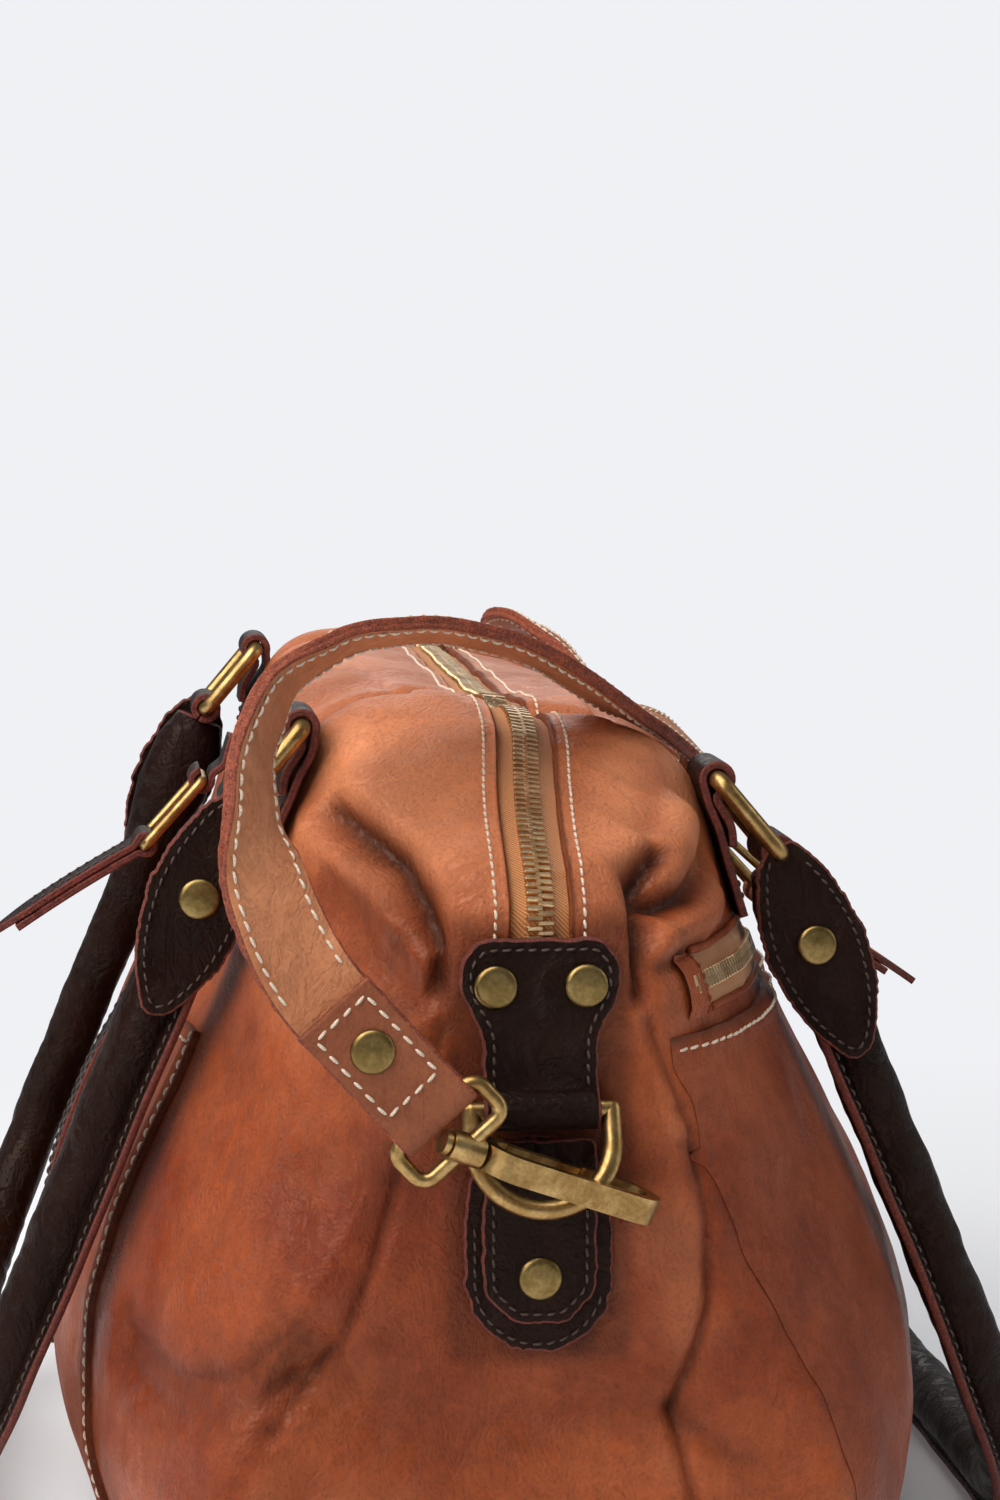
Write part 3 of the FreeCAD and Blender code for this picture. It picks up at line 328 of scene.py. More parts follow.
COGNAC = leather("cognac_leather", rgb(44, 14, 5), rgb(126, 50, 22), rgb(173, 86, 45),
                 grain=780.0, depth=0.2, rough=(0.34, 0.54), wrinkle=0.8, gloss=0.32)
POCKET = leather("pocket_leather", rgb(54, 19, 9), rgb(126, 53, 26), rgb(166, 82, 45),
                 grain=780.0, depth=0.2, wrinkle=0.8)
CHOCOLATE = leather("chocolate_leather", rgb(7, 3, 2), rgb(20, 8, 5), rgb(35, 16, 11),
                    grain=700.0, depth=0.2, rough=(0.32, 0.52), wrinkle=1.0, gloss=0.15,
                    mottle=30.0)
TAN = leather("tan_leather", rgb(120, 62, 36), rgb(184, 116, 78), rgb(206, 140, 100),
              grain=820.0, depth=0.16, rough=(0.42, 0.6), wrinkle=1.0, mottle=24.0)
PATCH = leather("patch_leather", rgb(78, 36, 21), rgb(128, 68, 44), rgb(150, 88, 60),
                grain=820.0, depth=0.14, rough=(0.4, 0.58), wrinkle=0.6, mottle=24.0)
RED_EDGE = raw_edge("red_raw_edge", rgb(62, 20, 12), rgb(134, 52, 32))
RUST_EDGE = raw_edge("rust_raw_edge", rgb(84, 28, 14), rgb(176, 84, 46))
BRASS = brass("antique_brass", rgb(72, 52, 28), rgb(158, 124, 74), rgb(206, 172, 114))
RIVET = brass("rivet_brass", rgb(58, 46, 24), rgb(124, 102, 58), rgb(164, 138, 88), 0.4)
TEETH = brass("zip_brass", rgb(112, 82, 52), rgb(204, 166, 120), rgb(238, 208, 164), 0.5)
CREAM = thread("cream_thread", rgb(236, 222, 202), rgb(186, 160, 132))
RUST_THREAD = thread("rust_thread", rgb(150, 70, 40), rgb(100, 42, 24))
DARK_THREAD = thread("dark_thread", rgb(84, 64, 54), rgb(40, 29, 25))
TWILL = twill("twill_tape", rgb(206, 140, 82), rgb(150, 88, 42))
CLOTH = plain_matt("lining_cloth", rgb(120, 100, 80), rgb(90, 72, 56))
BOARD = plain_matt("board", rgb(60, 56, 52), rgb(44, 40, 36))


# ---------------------------------------------------------------- mesh helpers
def piece(name, vertices, faces, materials, body, replaces=(), face_slots=None,
          smooth=True, paints=None):
    """A finished mesh piece that rides on a CAD body; vertices in millimetres."""
    mesh = bpy.data.meshes.new(name)
    mesh.from_pydata((np.asarray(vertices, float) * MM).tolist(), [],
                     [tuple(int(i) for i in face) for face in faces])
    for material in materials if isinstance(materials, (list, tuple)) else [materials]:
        mesh.materials.append(material)
    if face_slots is not None:
        mesh.polygons.foreach_set("material_index", np.asarray(face_slots, np.int32))
    mesh.polygons.foreach_set("use_smooth", np.full(len(mesh.polygons), smooth))
    for label, values in (paints or {}).items():
        layer = mesh.attributes.new(label, "FLOAT", "POINT")
        layer.data.foreach_set("value", np.asarray(values, np.float32))
    mesh.update()
    obj = bpy.data.objects.new(name, mesh)
    scene.collection.objects.link(obj)
    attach(obj, body)
    if replaces:
        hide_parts(*replaces)
    return obj


def grid_faces(rows, columns, round_columns=False):
    """Quads of a grid whose vertices are numbered row by row; its columns may close a ring."""
    column_count = columns if round_columns else columns - 1
    i, j = np.meshgrid(np.arange(rows - 1), np.arange(column_count), indexing="ij")
    j2 = (j + 1) % columns
    quads = np.stack([i * columns + j, i * columns + j2, (i + 1) * columns + j2,
                      (i + 1) * columns + j], axis=-1)
    return quads.reshape(-1, 4)


class Builder:
    """Collects several parts into one mesh."""

    def __init__(self):
        self.vertices, self.faces, self.slots = [], [], []
        self.count = 0

    def add(self, vertices, faces, slot=0):
        vertices = np.asarray(vertices, float).reshape(-1, 3)
        self.vertices.append(vertices)
        for index, face in enumerate(faces):
            self.faces.append(tuple(int(i) + self.count for i in face))
            self.slots.append(slot if np.isscalar(slot) else int(slot[index]))
        self.count += len(vertices)

    def sweep(self, path, ups, profile, profile_slots=None, cap_slot=0):
        """Adds a profile (side, up) carried along a path, closed by a cap at each end."""
        self.add(*swept(path, ups, profile, profile_slots, cap_slot))

    def make(self, name, materials, body, slot, replaces=(), smooth=True, paints=None):
        return piece(name, np.concatenate(self.vertices), self.faces, materials, body,
                     replaces, self.slots, smooth, paints)


def swept(path, ups, profile, profile_slots, cap_slot):
    """Profile (side, up) carried along a path; returns vertices, faces and face slots."""
    path = np.asarray(path, float)
    along = tangents(path)
    ups = np.broadcast_to(np.asarray(ups, float), path.shape)
    side = unit(np.cross(along, ups))
    up = np.cross(side, along)
    profile = np.asarray(profile, float)
    if profile.ndim == 2:
        profile = np.broadcast_to(profile, (len(path),) + profile.shape)
    vertices = (path[:, None, :] + profile[:, :, :1] * side[:, None, :]
                + profile[:, :, 1:2] * up[:, None, :])
    rows, columns = len(path), profile.shape[1]
    faces = [tuple(f) for f in grid_faces(rows, columns, True)]
    faces.append(tuple(range(columns - 1, -1, -1)))
    faces.append(tuple(range((rows - 1) * columns, rows * columns)))
    pattern = np.zeros(columns, int) if profile_slots is None else np.asarray(profile_slots)
    return vertices.reshape(-1, 3), faces, list(np.tile(pattern, rows - 1)) + [cap_slot] * 2


def circle(radius, count=20):
    angles = np.linspace(0, 2 * math.pi, count, endpoint=False)
    return np.stack([radius * np.cos(angles), radius * np.sin(angles)], axis=1)


def slab(width, thick, round_off, groove, columns=10):
    """Cross-section of a strap: flat faces, rounded raw edges; also which sides are edges."""
    half, top = width / 2, thick / 2
    corner = min(round_off, top * 0.9)
    points, slots = [], []
    for x in np.linspace(-half + corner, half - corner, columns):
        points.append((x, top))
        slots.append(0)
    slots[-1] = 1
    edge = [(half - corner * 0.3, top - corner * 0.3), (half, top - corner),
            (half - groove * 0.2, top * 0.25), (half - groove, 0),
            (half - groove * 0.2, -top * 0.25), (half, corner - top),
            (half - corner * 0.3, corner * 0.3 - top)]
    points += edge
    slots += [1] * len(edge)
    for x in np.linspace(half - corner, -half + corner, columns):
        points.append((x, -top))
        slots.append(0)
    slots[-1] = 1
    points += [(-x, -z) for x, z in edge]
    slots += [1] * len(edge)
    return np.array(points), slots


def lathe(profile, centre, axis, count=40):
    """Turned form from (radius, height) pairs about an axis."""
    axis = unit(axis)
    first = unit(np.cross(axis, (0.3, 0.9, 0.2)))
    second = np.cross(axis, first)
    angles = np.linspace(0, 2 * math.pi, count, endpoint=False)
    vertices = [np.asarray(centre, float) + r * (math.cos(a) * first + math.sin(a) * second)
                + height * axis for r, height in profile for a in angles]
    faces = [tuple(f[::-1]) for f in grid_faces(len(profile), count, True)]
    faces.append(tuple(range(count)))
    faces.append(tuple(range((len(profile) - 1) * count, len(profile) * count))[::-1])
    return vertices, faces


def rivet_head(builder, centre, outward, radius, height):
    """Domed rivet with a rolled rim."""
    angles = np.linspace(0, math.pi / 2, 9)
    profile = [(radius * 0.98, -0.4), (radius, 0.2)]
    profile += [(radius * (0.62 + 0.38 * math.cos(a)), 0.35 + (height - 0.65) * math.sin(a))
                for a in angles]
    profile += [(radius * 0.4, height - 0.16), (radius * 0.16, height - 0.04), (0.05, height)]
    builder.add(*lathe(profile, centre, outward))


def stitches(builder, path, normals, pitch, length, thick, slant=0.12, rise=0.32):
    """Row of stitches on a surface: each is a short arched bead of thread."""
    path = np.asarray(path, float)
    normals = np.broadcast_to(np.asarray(normals, float), path.shape)
    places = lengths(path)
    count = int(places[-1] // pitch)
    if count < 1:
        return
    centres = (np.arange(count) + 0.5) * places[-1] / count
    shares = np.array([-0.5, -0.36, -0.12, 0.12, 0.36, 0.5])
    girth = np.array([0.35, 0.85, 1.0, 1.0, 0.85, 0.35]) * thick / 2
    lift = np.array([-0.5, 0.35, 1.0, 1.0, 0.35, -0.5]) * rise
    ring = circle(1.0, 6)
    for number, centre in enumerate(centres):
        wobble = 1 + 0.08 * math.sin(number * 2.4)
        spots = centre + shares * length * wobble
        line = sampled(path, places, spots)
        normal = unit(sampled(normals, places, [centre])[0])
        along = unit(line[-1] - line[0])
        side = np.cross(normal, along)
        line = line + normal * lift[:, None] + side * (shares * length * slant)[:, None]
        vertices = (line[:, None, :] + girth[:, None, None]
                    * (ring[None, :, :1] * side + ring[None, :, 1:2] * normal))
        faces = [tuple(f) for f in grid_faces(6, 6, True)]
        faces += [tuple(range(5, -1, -1)), tuple(range(30, 36))]
        builder.add(vertices, faces)


def near_and_far(build):
    """Runs a builder of the near end's pieces for both ends."""
    for label, sign in (("near", 1.0), ("far", -1.0)):
        build(label, sign)


def turn(points, sign):
    """Points of the near end, or turned half round to the far end."""
    return np.asarray(points, float) * vec(sign, sign, 1.0)


# ---------------------------------------------------------------- the bag's skin
def surface(names):
    """Search tree over CAD nodes, in millimetres."""
    vertices, faces = [], []
    for name in names:
        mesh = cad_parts[name].data
        start = len(vertices)
        vertices += [v.co / MM for v in mesh.vertices]
        faces += [[i + start for i in p.vertices] for p in mesh.polygons]
    return BVHTree.FromPolygons(vertices, faces)


BODY_NODES = ["front_panel", "back_panel", "near_gusset", "far_gusset", "base_panel"]
form = surface(BODY_NODES + ["front_zip_tape", "back_zip_tape", "zip_chain"])
AXIS_HEIGHT = 120.0
CAP = 150.0
SLOT = 9.2
SLOT_FOOT = 206.0
POCKET_THICK = 2.2


def cast_in(tree, centre, direction):
    """Outermost point of a surface in a direction from an inner centre."""
    centre = Vector(centre)
    direction = Vector(direction).normalized()
    spot = tree.ray_cast(centre + direction * 600, -direction)
    return None if spot[0] is None else np.array(spot[0])


def skin_grid(cap_rows, middle_rows, fine, coarse):
    """Grid over the whole skin: rows from the near end's centre to the far end's."""
    angles = np.linspace(0, math.pi / 2, cap_rows + 1)[1:]
    stations = [(-CAP, a) for a in angles]
    stations += [(y, math.pi / 2) for y in np.linspace(-CAP, CAP, middle_rows + 1)[1:-1]]
    stations += [(CAP, math.pi - a) for a in angles[::-1]]
    inner = np.concatenate([[SLOT], np.linspace(SLOT, 30.0, fine + 1)[1:]])
    rows = []
    for y, tilt in stations:
        up = cast_in(form, (0, y, AXIS_HEIGHT), (0, -math.cos(tilt), math.sin(tilt)))
        height = max(up[2] if up is not None else SLOT_FOOT, SLOT_FOOT)
        central = np.arctan(inner / (height - AXIS_HEIGHT))
        outer = np.linspace(central[-1], math.pi, coarse + 1)[1:-1]
        right = np.concatenate([central, outer])
        around = np.concatenate([right, [math.pi], -right[::-1]])
        rows.append([cast_in(form, (0, y, AXIS_HEIGHT), (math.sin(tilt) * math.sin(angle),
                                                         -math.cos(tilt),
                                                         math.sin(tilt) * math.cos(angle)))
                     for angle in around])
    return rows


def filled(rows):
    """Replaces missed casts by their neighbours."""
    for i, row in enumerate(rows):
        for j, spot in enumerate(row):
            if spot is None:
                near = [row[k] for k in (j - 1, j - 2, (j + 1) % len(row)) if row[k] is not None]
                row[j] = near[0] if near else rows[i - 1][j]
    return np.array(rows)


def grid_normals(points):
    """Unit outward normals of the skin's grid, whose columns close round the bag."""
    across = np.roll(points, -1, axis=1) - np.roll(points, 1, axis=1)
    facing = unit(np.cross(np.gradient(points, axis=0), across))
    middle_row = len(points) // 2
    outward = np.sum(facing[middle_row] * (points[middle_row] - vec(0, 0, AXIS_HEIGHT)))
    return -facing if outward < 0 else facing


def relaxed(points, times):
    """Evens out a grid; the two columns at the zip keep their distance."""
    for _ in range(times):
        mean = (np.roll(points, 1, axis=1) + np.roll(points, -1, axis=1)) / 4
        mean[1:-1] += (points[:-2] + points[2:]) / 4
        mean[0] = points[0]
        mean[-1] = points[-1]
        mean[:, [0, -1]] = points[:, [0, -1]]
        mean[1:-1, [0, -1], 1:] = (points[:-2, [0, -1], 1:] + points[2:, [0, -1], 1:]) / 2
        points = points + 0.5 * (mean - points)
    return points


scale = 1.0
skin = filled(skin_grid(int(190 * scale), int(170 * scale), int(12 * scale) + 3, int(185 * scale)))
skin = relaxed(skin, int(10 * scale) + 2)
rows, columns = skin.shape[:2]
normals = grid_normals(skin)

# Folds of the near end. Each row: path on the skin, width, depth, height of the lip on one
# side, and how far that lip reaches. A positive lip lies to the left of the path's direction.
FOLDS = [
    # left pleat beside the tongue
    ([(-60, -168, 262), (-50, -190, 255), (-39, -208, 249), (-33, -221, 238), (-28, -232, 225),
      (-26, -232, 207)], 4.5, 9.0, 4.0, 12.0),
    # hollow to its left, under the rolled lobe
    ([(-66, -186, 238), (-52, -208, 232), (-42, -226, 218), (-34, -232, 203)], 9.0, 4.5, 0.0, 1.0),
    # right pleat beside the tongue
    ([(40, -196, 248), (29, -214, 240), (30, -222, 232), (29, -230, 221), (27, -232, 206)],
     4.0, 9.0, -3.5, 11.0),
    # crevice under the knob on the right
    ([(29, -215, 239), (38, -212, 234), (48, -200, 236), (57, -184, 243), (62, -166, 250)],
     3.6, 7.5, 3.0, 10.0),
    # second crevice under the lower roll
    ([(30, -230, 217), (42, -217, 220), (56, -200, 222), (68, -176, 224)], 3.2, 4.0, 2.0, 9.0),
    # left and right seams of the end panel
    ([(-27, -232, 203), (-40, -232, 161), (-47, -232, 136), (-56, -232, 113), (-69, -232, 96),
      (-83, -230, 76), (-92, -226, 45), (-95, -222, 4)], 1.7, 2.0, 0.9, 8.0),
    ([(32, -232, 204), (44, -231, 174), (49, -231, 145), (49.5, -232, 121), (44, -232, 101),
      (39, -232, 89), (45, -232, 66), (52, -231, 38), (56, -230, 4)], 1.8, 2.4, -1.2, 8.0),
    # soft dent low on the left, and slack folds across the end panel
    ([(-124, -160, 96), (-108, -202, 91), (-89, -226, 94), (-69, -232, 104), (-56, -232, 118)],
     12.0, 5.5, 0.0, 1.0),
    ([(-52, -232, 98), (-20, -232, 84), (12, -232, 92), (38, -232, 96)], 14.0, 3.0, 0.0, 1.0),
    ([(39, -232, 89), (58, -230, 74), (86, -222, 70)], 5.0, 2.6, 0.0, 1.0),
    ([(-118, -176, 90), (-104, -206, 85), (-86, -227, 90), (-70, -232, 101)], 2.6, 2.0, 0.9, 5.0),
    ([(-120, -166, 101), (-106, -202, 97), (-90, -225, 101), (-76, -231, 113)], 2.2, 1.4, 0.7,
     5.0),
    ([(-98, -214, 91), (-88, -226, 84), (-76, -231, 86)], 2.4, 1.6, 0.8, 5.0),
    ([(40, -232, 178), (49, -231, 170), (60, -229, 173)], 2.2, 1.0, 0.5, 4.0),
    ([(42, -232, 168), (52, -231, 161), (61, -228, 164)], 2.0, 0.8, 0.5, 4.0),
    ([(-60, -168, 249), (-54, -186, 243), (-47, -204, 236), (-40, -220, 226)], 2.6, 2.4, 1.0,
     6.0),
    ([(-40, -232, 160), (-62, -230, 168), (-84, -215, 162)], 12.0, 2.6, 0.0, 1.0),
    ([(48, -231, 160), (66, -226, 150), (88, -205, 152)], 10.0, 2.0, 0.0, 1.0),
]
# Raised rolls beside the pleats: path, width and height.
ROLLS = [
    ([(-62, -172, 250), (-56, -186, 248), (-50, -202, 242), (-44, -218, 230)], 8.0, 5.0),
    ([(47, -176, 254), (44, -192, 248), (40, -203, 243)], 8.0, 5.5),
    ([(66, -172, 238), (56, -192, 230), (44, -212, 226), (34, -226, 222)], 6.5, 4.5),
    ([(0, -232, 232), (0, -205, 252), (2, -170, 272)], 22.0, 1.5),
]


def fold_field(points, facing):
    """Displacement, and painted shade in their creases, that the near end's folds give to a set of
    points.
    """
    shift = np.zeros(len(points))
    shade_and_mottle = np.zeros(len(points))
    for path, width, depth, lip, reach in FOLDS:
        distance, share, offset, along = near_path(points, path)
        fade = ease(0.0, 0.1, share) * ease(1.0, 0.9, share) if depth > 3 else 1.0
        side = np.sum(np.cross(facing, along) * offset, axis=1)
        valley = np.exp(-(distance / width) ** (1.5 if width < 6 else 2.0)) * fade
        shift -= depth * valley
        crisp = width < 6
        # painted shade along each fold's valley, stronger for deeper and narrower folds
        dark = np.minimum(depth / (7 if crisp else 16), 0.9)
        shade_and_mottle += dark * np.exp(-(distance / (width * (0.8 if crisp else 1.0))) ** 2) * fade
        if lip:
            beyond = side * np.sign(lip)
            crest = np.exp(-((beyond - width * 1.3) / reach) ** 2) * (beyond > 0)
            crest *= np.exp(-(np.maximum(distance - reach * 2, 0) / 4) ** 2)
            shift += abs(lip) * crest * fade * (1 - valley)
    for path, width, height in ROLLS:
        distance, share, offset, along = near_path(points, path)
        shift += height * np.exp(-(distance / width) ** 2)
    return shift, shade_and_mottle


def sculpted(flat, facing):
    """How far the leather stands off the plain form at each point, and how much painted shade and
    random mottle darken it.
    """
    x, y, z = flat.T
    moved = np.zeros(len(flat))
    shade_and_mottle = np.zeros(len(flat))
    for sign in (1.0, -1.0):
        own = np.where((y * sign < -105) & (z > 1))[0]
        mirrored = turn(flat[own], sign)
        shift, dark = fold_field(mirrored, turn(facing[own], sign))
        # the leather lies flat behind the tab, in painted shade
        mx, my, mz = mirrored.T
        behind = (ease(30, 23, np.abs(mx)) * ease(101, 108, mz) * ease(236, 229, mz)
                  * ease(-222, -229, my))
        share = ease(-105, -130, my)
        moved[own] += (shift * (1 - behind) - 0.4 * behind) * share
        shade_and_mottle[own] += dark * (1 - behind) * share + 0.5 * behind
    # crease across the ridge behind the near crest, and its twin, with painted shade in the crease
    for sign in (1.0, -1.0):
        from_crease = y * sign + 121 + 0.06 * x * sign
        across = np.exp(-(from_crease / 7.0) ** 2)
        moved -= 7.5 * across * ease(235, 262, z) * ease(80, 40, np.abs(x))
        shade_and_mottle += 0.55 * np.exp(-(from_crease / 5.0) ** 2) * ease(240, 266, z)
        crest = np.exp(-((y * sign + 143) / 15.0) ** 2) * ease(245, 270, z)
        moved += 1.8 * crest
    # slack of the flanks and the whole skin
    slack = waves(flat, 95.0, 3) * 1.5 + waves(flat, 42.0, 4) * 0.7 + waves(flat, 19.0, 5) * 0.25
    flank = ease(60, 90, np.abs(x)) * ease(200, 170, np.abs(y))
    moved += np.where(slack > 0, slack * (1 - 0.75 * flank), slack) * ease(2, 30, z)
    # vertical slack folds under the rings
    for sign in (1.0, -1.0):
        for side in (1.0, -1.0):
            under = np.exp(-((y - sign * 128) / 9.0) ** 2) + np.exp(-((y - sign * 100) / 14.0) ** 2)
            moved -= 3.0 * under * ease(165, 215, z) * (x * side > 30)
    # darker towards the bottom
    shade_and_mottle += 0.35 * ease(26, 4, z)
    # random darker patches in the leather's own tone
    shade_and_mottle += 0.12 * (waves(flat, 60.0, 8) > 0.7)
    moved *= ease(0.3, 6.0, z)
    return moved, shade_and_mottle


flat = skin.reshape(-1, 3)
facing = normals.reshape(-1, 3)
moved, shade_and_mottle = sculpted(flat, facing)
skin = (flat + facing * moved[:, None]).reshape(rows, columns, 3)
skin = relaxed(skin, 1)
skin[..., 2] = np.maximum(skin[..., 2], 0.0)


def zip_line(y):
    """Sideways place of the main zip along the bag."""
    return 5.0 * np.exp(-((np.asarray(y, float) + 152) / 38.0) ** 2)


weight = ease(60, 20, np.abs(skin[..., 0])) * ease(200, 225, skin[..., 2])
skin[..., 0] += zip_line(skin[..., 1]) * weight
normals = grid_normals(skin)
# Painted highlights on the lobes and crests at each end: path and width.
HIGHLIGHT_PATHS = [([(-32, -206, 252), (-28, -186, 264), (-26, -160, 277)], 17.0),
        ([(24, -206, 254), (27, -184, 264), (30, -160, 275)], 10.0),
        ([(50, -182, 250), (54, -160, 260), (54, -140, 267)], 9.0),
        ([(-52, -176, 262), (-50, -156, 274)], 9.0)]
shade_and_mottle = np.clip(shade_and_mottle, 0, 1)
# painted highlight: lighter towards the top and on raised leather, strongest along the highlight
# paths, and less where there is painted shade
lift = ease(225, 285, skin[..., 2]).ravel() * 0.5 + 0.3 * ease(0.5, 3, moved)
for path, width in HIGHLIGHT_PATHS:
    for sign in (1.0, -1.0):
        lift += 0.75 * np.exp(-(near_path(turn(flat, sign), path)[0] / width)**2)
lift = np.clip(lift * (1 - shade_and_mottle), 0, 0.95)

top_faces = grid_faces(rows, columns, True)
slot_column = np.tile(np.arange(columns) == columns - 1, rows - 1)
face_heights = np.repeat((skin[:-1, 0, 2] + skin[1:, 0, 2]) / 2, columns)
open_slot = slot_column & (face_heights > SLOT_FOOT)
faces = [tuple(f) for f in top_faces[~open_slot]]
faces.append(tuple(range(columns)))
faces.append(tuple(range((rows - 1) * columns, rows * columns))[::-1])
body_vertices = skin.reshape(-1, 3)
# the zip edges turn down into the bag
in_slot = np.where(skin[:, 0, 2] > SLOT_FOOT)[0]
lips = []
for column, sign in ((0, -1.0), (columns - 1, 1.0)):
    top = skin[in_slot, column]
    inward = vec(sign, 0, 0)
    first = top + inward * 0.7 - normals[in_slot, column] * 0.5
    second = top + inward * 0.5 - normals[in_slot, column] * 2.6
    start = len(body_vertices)
    body_vertices = np.concatenate([body_vertices, first, second])
    count = len(in_slot)
    for k in range(count - 1):
        if in_slot[k + 1] != in_slot[k] + 1:
            continue
        a, b = in_slot[k] * columns + column, in_slot[k + 1] * columns + column
        quads = [(a, b, start + k + 1, start + k),
                 (start + k, start + k + 1, start + count + k + 1, start + count + k)]
        faces += [q if sign > 0 else q[::-1] for q in quads]
extra = len(body_vertices) - rows * columns
# the lips that turn down into the zip slot get painted shade at half strength
piece("bag_body", body_vertices, faces, COGNAC, "bag", BODY_NODES,
      paints={"shade_and_mottle": np.concatenate([shade_and_mottle, np.full(extra, 0.5)]),
              "lift": np.concatenate([lift, np.zeros(extra)])})
draped = BVHTree.FromPolygons([Vector(v) for v in body_vertices], faces)

# lining: the same form a little further in
inner = skin - normals * 3.4
lining_faces = [tuple(f) for f in top_faces[~open_slot][:, ::-1]]
piece("bag_lining", inner.reshape(-1, 3), lining_faces, CLOTH, "bag", ["lining"])


def on_skin(centre, direction, off=0.0):
    """Point and normal of the finished skin, a little off it."""
    centre, direction = Vector(centre), Vector(direction).normalized()
    spot, normal, _, _ = draped.ray_cast(centre + direction * 600, -direction)
    if spot is None:
        raise RuntimeError("no skin in that direction")
    if normal.dot(direction) < 0:
        normal = -normal
    return np.array(spot) + np.array(normal) * off, np.array(normal)


# ---------------------------------------------------------------- main zip
def zip_teeth(builder, path, ups, width=7.6, pitch=2.7):
    """Two interlocking rows of cast teeth along a path."""
    points = evenly(path, pitch / 2)
    places = np.linspace(0, 1, len(points))
    source = np.linspace(0, 1, len(ups))
    facing = unit(sampled(ups, source, places))
    along = tangents(points)
    side = unit(np.cross(along, facing))
    outline = np.array([(0.0, -0.42), (0.0, 0.42), (0.55, 0.5), (0.62, 0.38), (0.62, -0.38),
                        (0.55, -0.5)])
    for index, centre in enumerate(points):
        hand = 1 if index % 2 else -1
        reach = outline[:, 0] * width * hand - hand * width * 0.1
        length = outline[:, 1] * pitch * 0.6
        ring = centre + reach[:, None] * side[index] + length[:, None] * along[index]
        low = ring - facing[index] * 0.9
        high = ring + facing[index] * 0.7
        crown = centre + (reach * 0.9 + hand * 0.2)[:, None] * side[index] + (
            length * 0.62)[:, None] * along[index] + facing[index] * 1.25
        vertices = np.concatenate([low, high, crown])
        quads = [tuple(f) for f in grid_faces(3, 6, True)]
        quads += [tuple(range(12, 18))]
        builder.add(vertices, quads if hand > 0 else [q[::-1] for q in quads])


left = skin[in_slot, columns - 1]
right = skin[in_slot, 0]
slot_normals = unit(normals[in_slot, 0] + normals[in_slot, columns - 1])
middle = (left + right) / 2
tape = Builder()
shares = np.array([-1.05, -0.8, -0.45, -0.42, -0.15, 0.15, 0.42, 0.45, 0.8, 1.05])
sink = np.array([2.3, 1.9, 1.7, 1.3, 1.25, 1.25, 1.3, 1.7, 1.9, 2.3])
strip = (middle[:, None, :] + (right - left)[:, None, :] / 2 * shares[None, :, None]
         - slot_normals[:, None, :] * sink[None, :, None])
tape.add(strip, grid_faces(len(middle), len(shares)))
tape.make("main_zip_tape", TWILL, "bag", "zip_tape", ["front_zip_tape", "back_zip_tape"])
chain = Builder()
spine = middle - slot_normals * 0.9
spine = spine[:: max(len(spine) // 200, 1)]
zip_teeth(chain, spine, slot_normals[:: max(len(slot_normals) // 200, 1)])
chain.make("main_zip_teeth", TEETH, "bag", "antique_brass", ["zip_chain"], smooth=False)

seams = Builder()
for sign, column in ((1.0, 0), (-1.0, columns - 1)):
    row = skin[in_slot, column] + vec(sign * 3.8, 0, 0)
    spots, facings = [], []
    for spot, up in zip(row[::2], normals[in_slot, column][::2]):
        hit = draped.ray_cast(Vector(spot + up * 8), Vector(-up))[0]
        if hit is not None and spot[2] > 212:
            spots.append(np.array(hit))
            facings.append(up)
    stitches(seams, np.array(spots), np.array(facings), pitch=3.5, length=2.8, thick=0.95)
seams.make("main_zip_stitching", CREAM, "bag", "tan_leather")


# ---------------------------------------------------------------- cut leather pieces
def outline_curve(points, spacing=0.9, corner=2.5):
    """Closed outline with its corners rounded, as evenly spread points."""
    points = np.asarray(points, float)
    ring = []
    count = len(points)
    for index in range(count):
        before, here, after = points[index - 1], points[index], points[(index + 1) % count]
        first = here + (before - here) * min(corner / np.linalg.norm(before - here), 0.45)
        last = here + (after - here) * min(corner / np.linalg.norm(after - here), 0.45)
        for t in (0, 0.25, 0.5, 0.75, 1.0):
            ring.append((1 - t)**2 * first + 2 * t * (1 - t) * here + t * t * last)
    ring.append(ring[0])
    return evenly(raised(np.array(ring)), spacing)[:-1, :2]


def turning(outline):
    """Twice an outline's signed area."""
    return np.sum(outline[:, 0] * np.roll(outline[:, 1], -1)
                  - np.roll(outline[:, 0], -1) * outline[:, 1])


def inset(outline, amount):
    """The outline moved inwards by a small amount."""
    along = unit(np.roll(outline, -1, axis=0) - np.roll(outline, 1, axis=0))
    normal = np.stack([along[:, 1], -along[:, 0]], axis=1)
    return outline - normal * amount * np.sign(turning(outline))


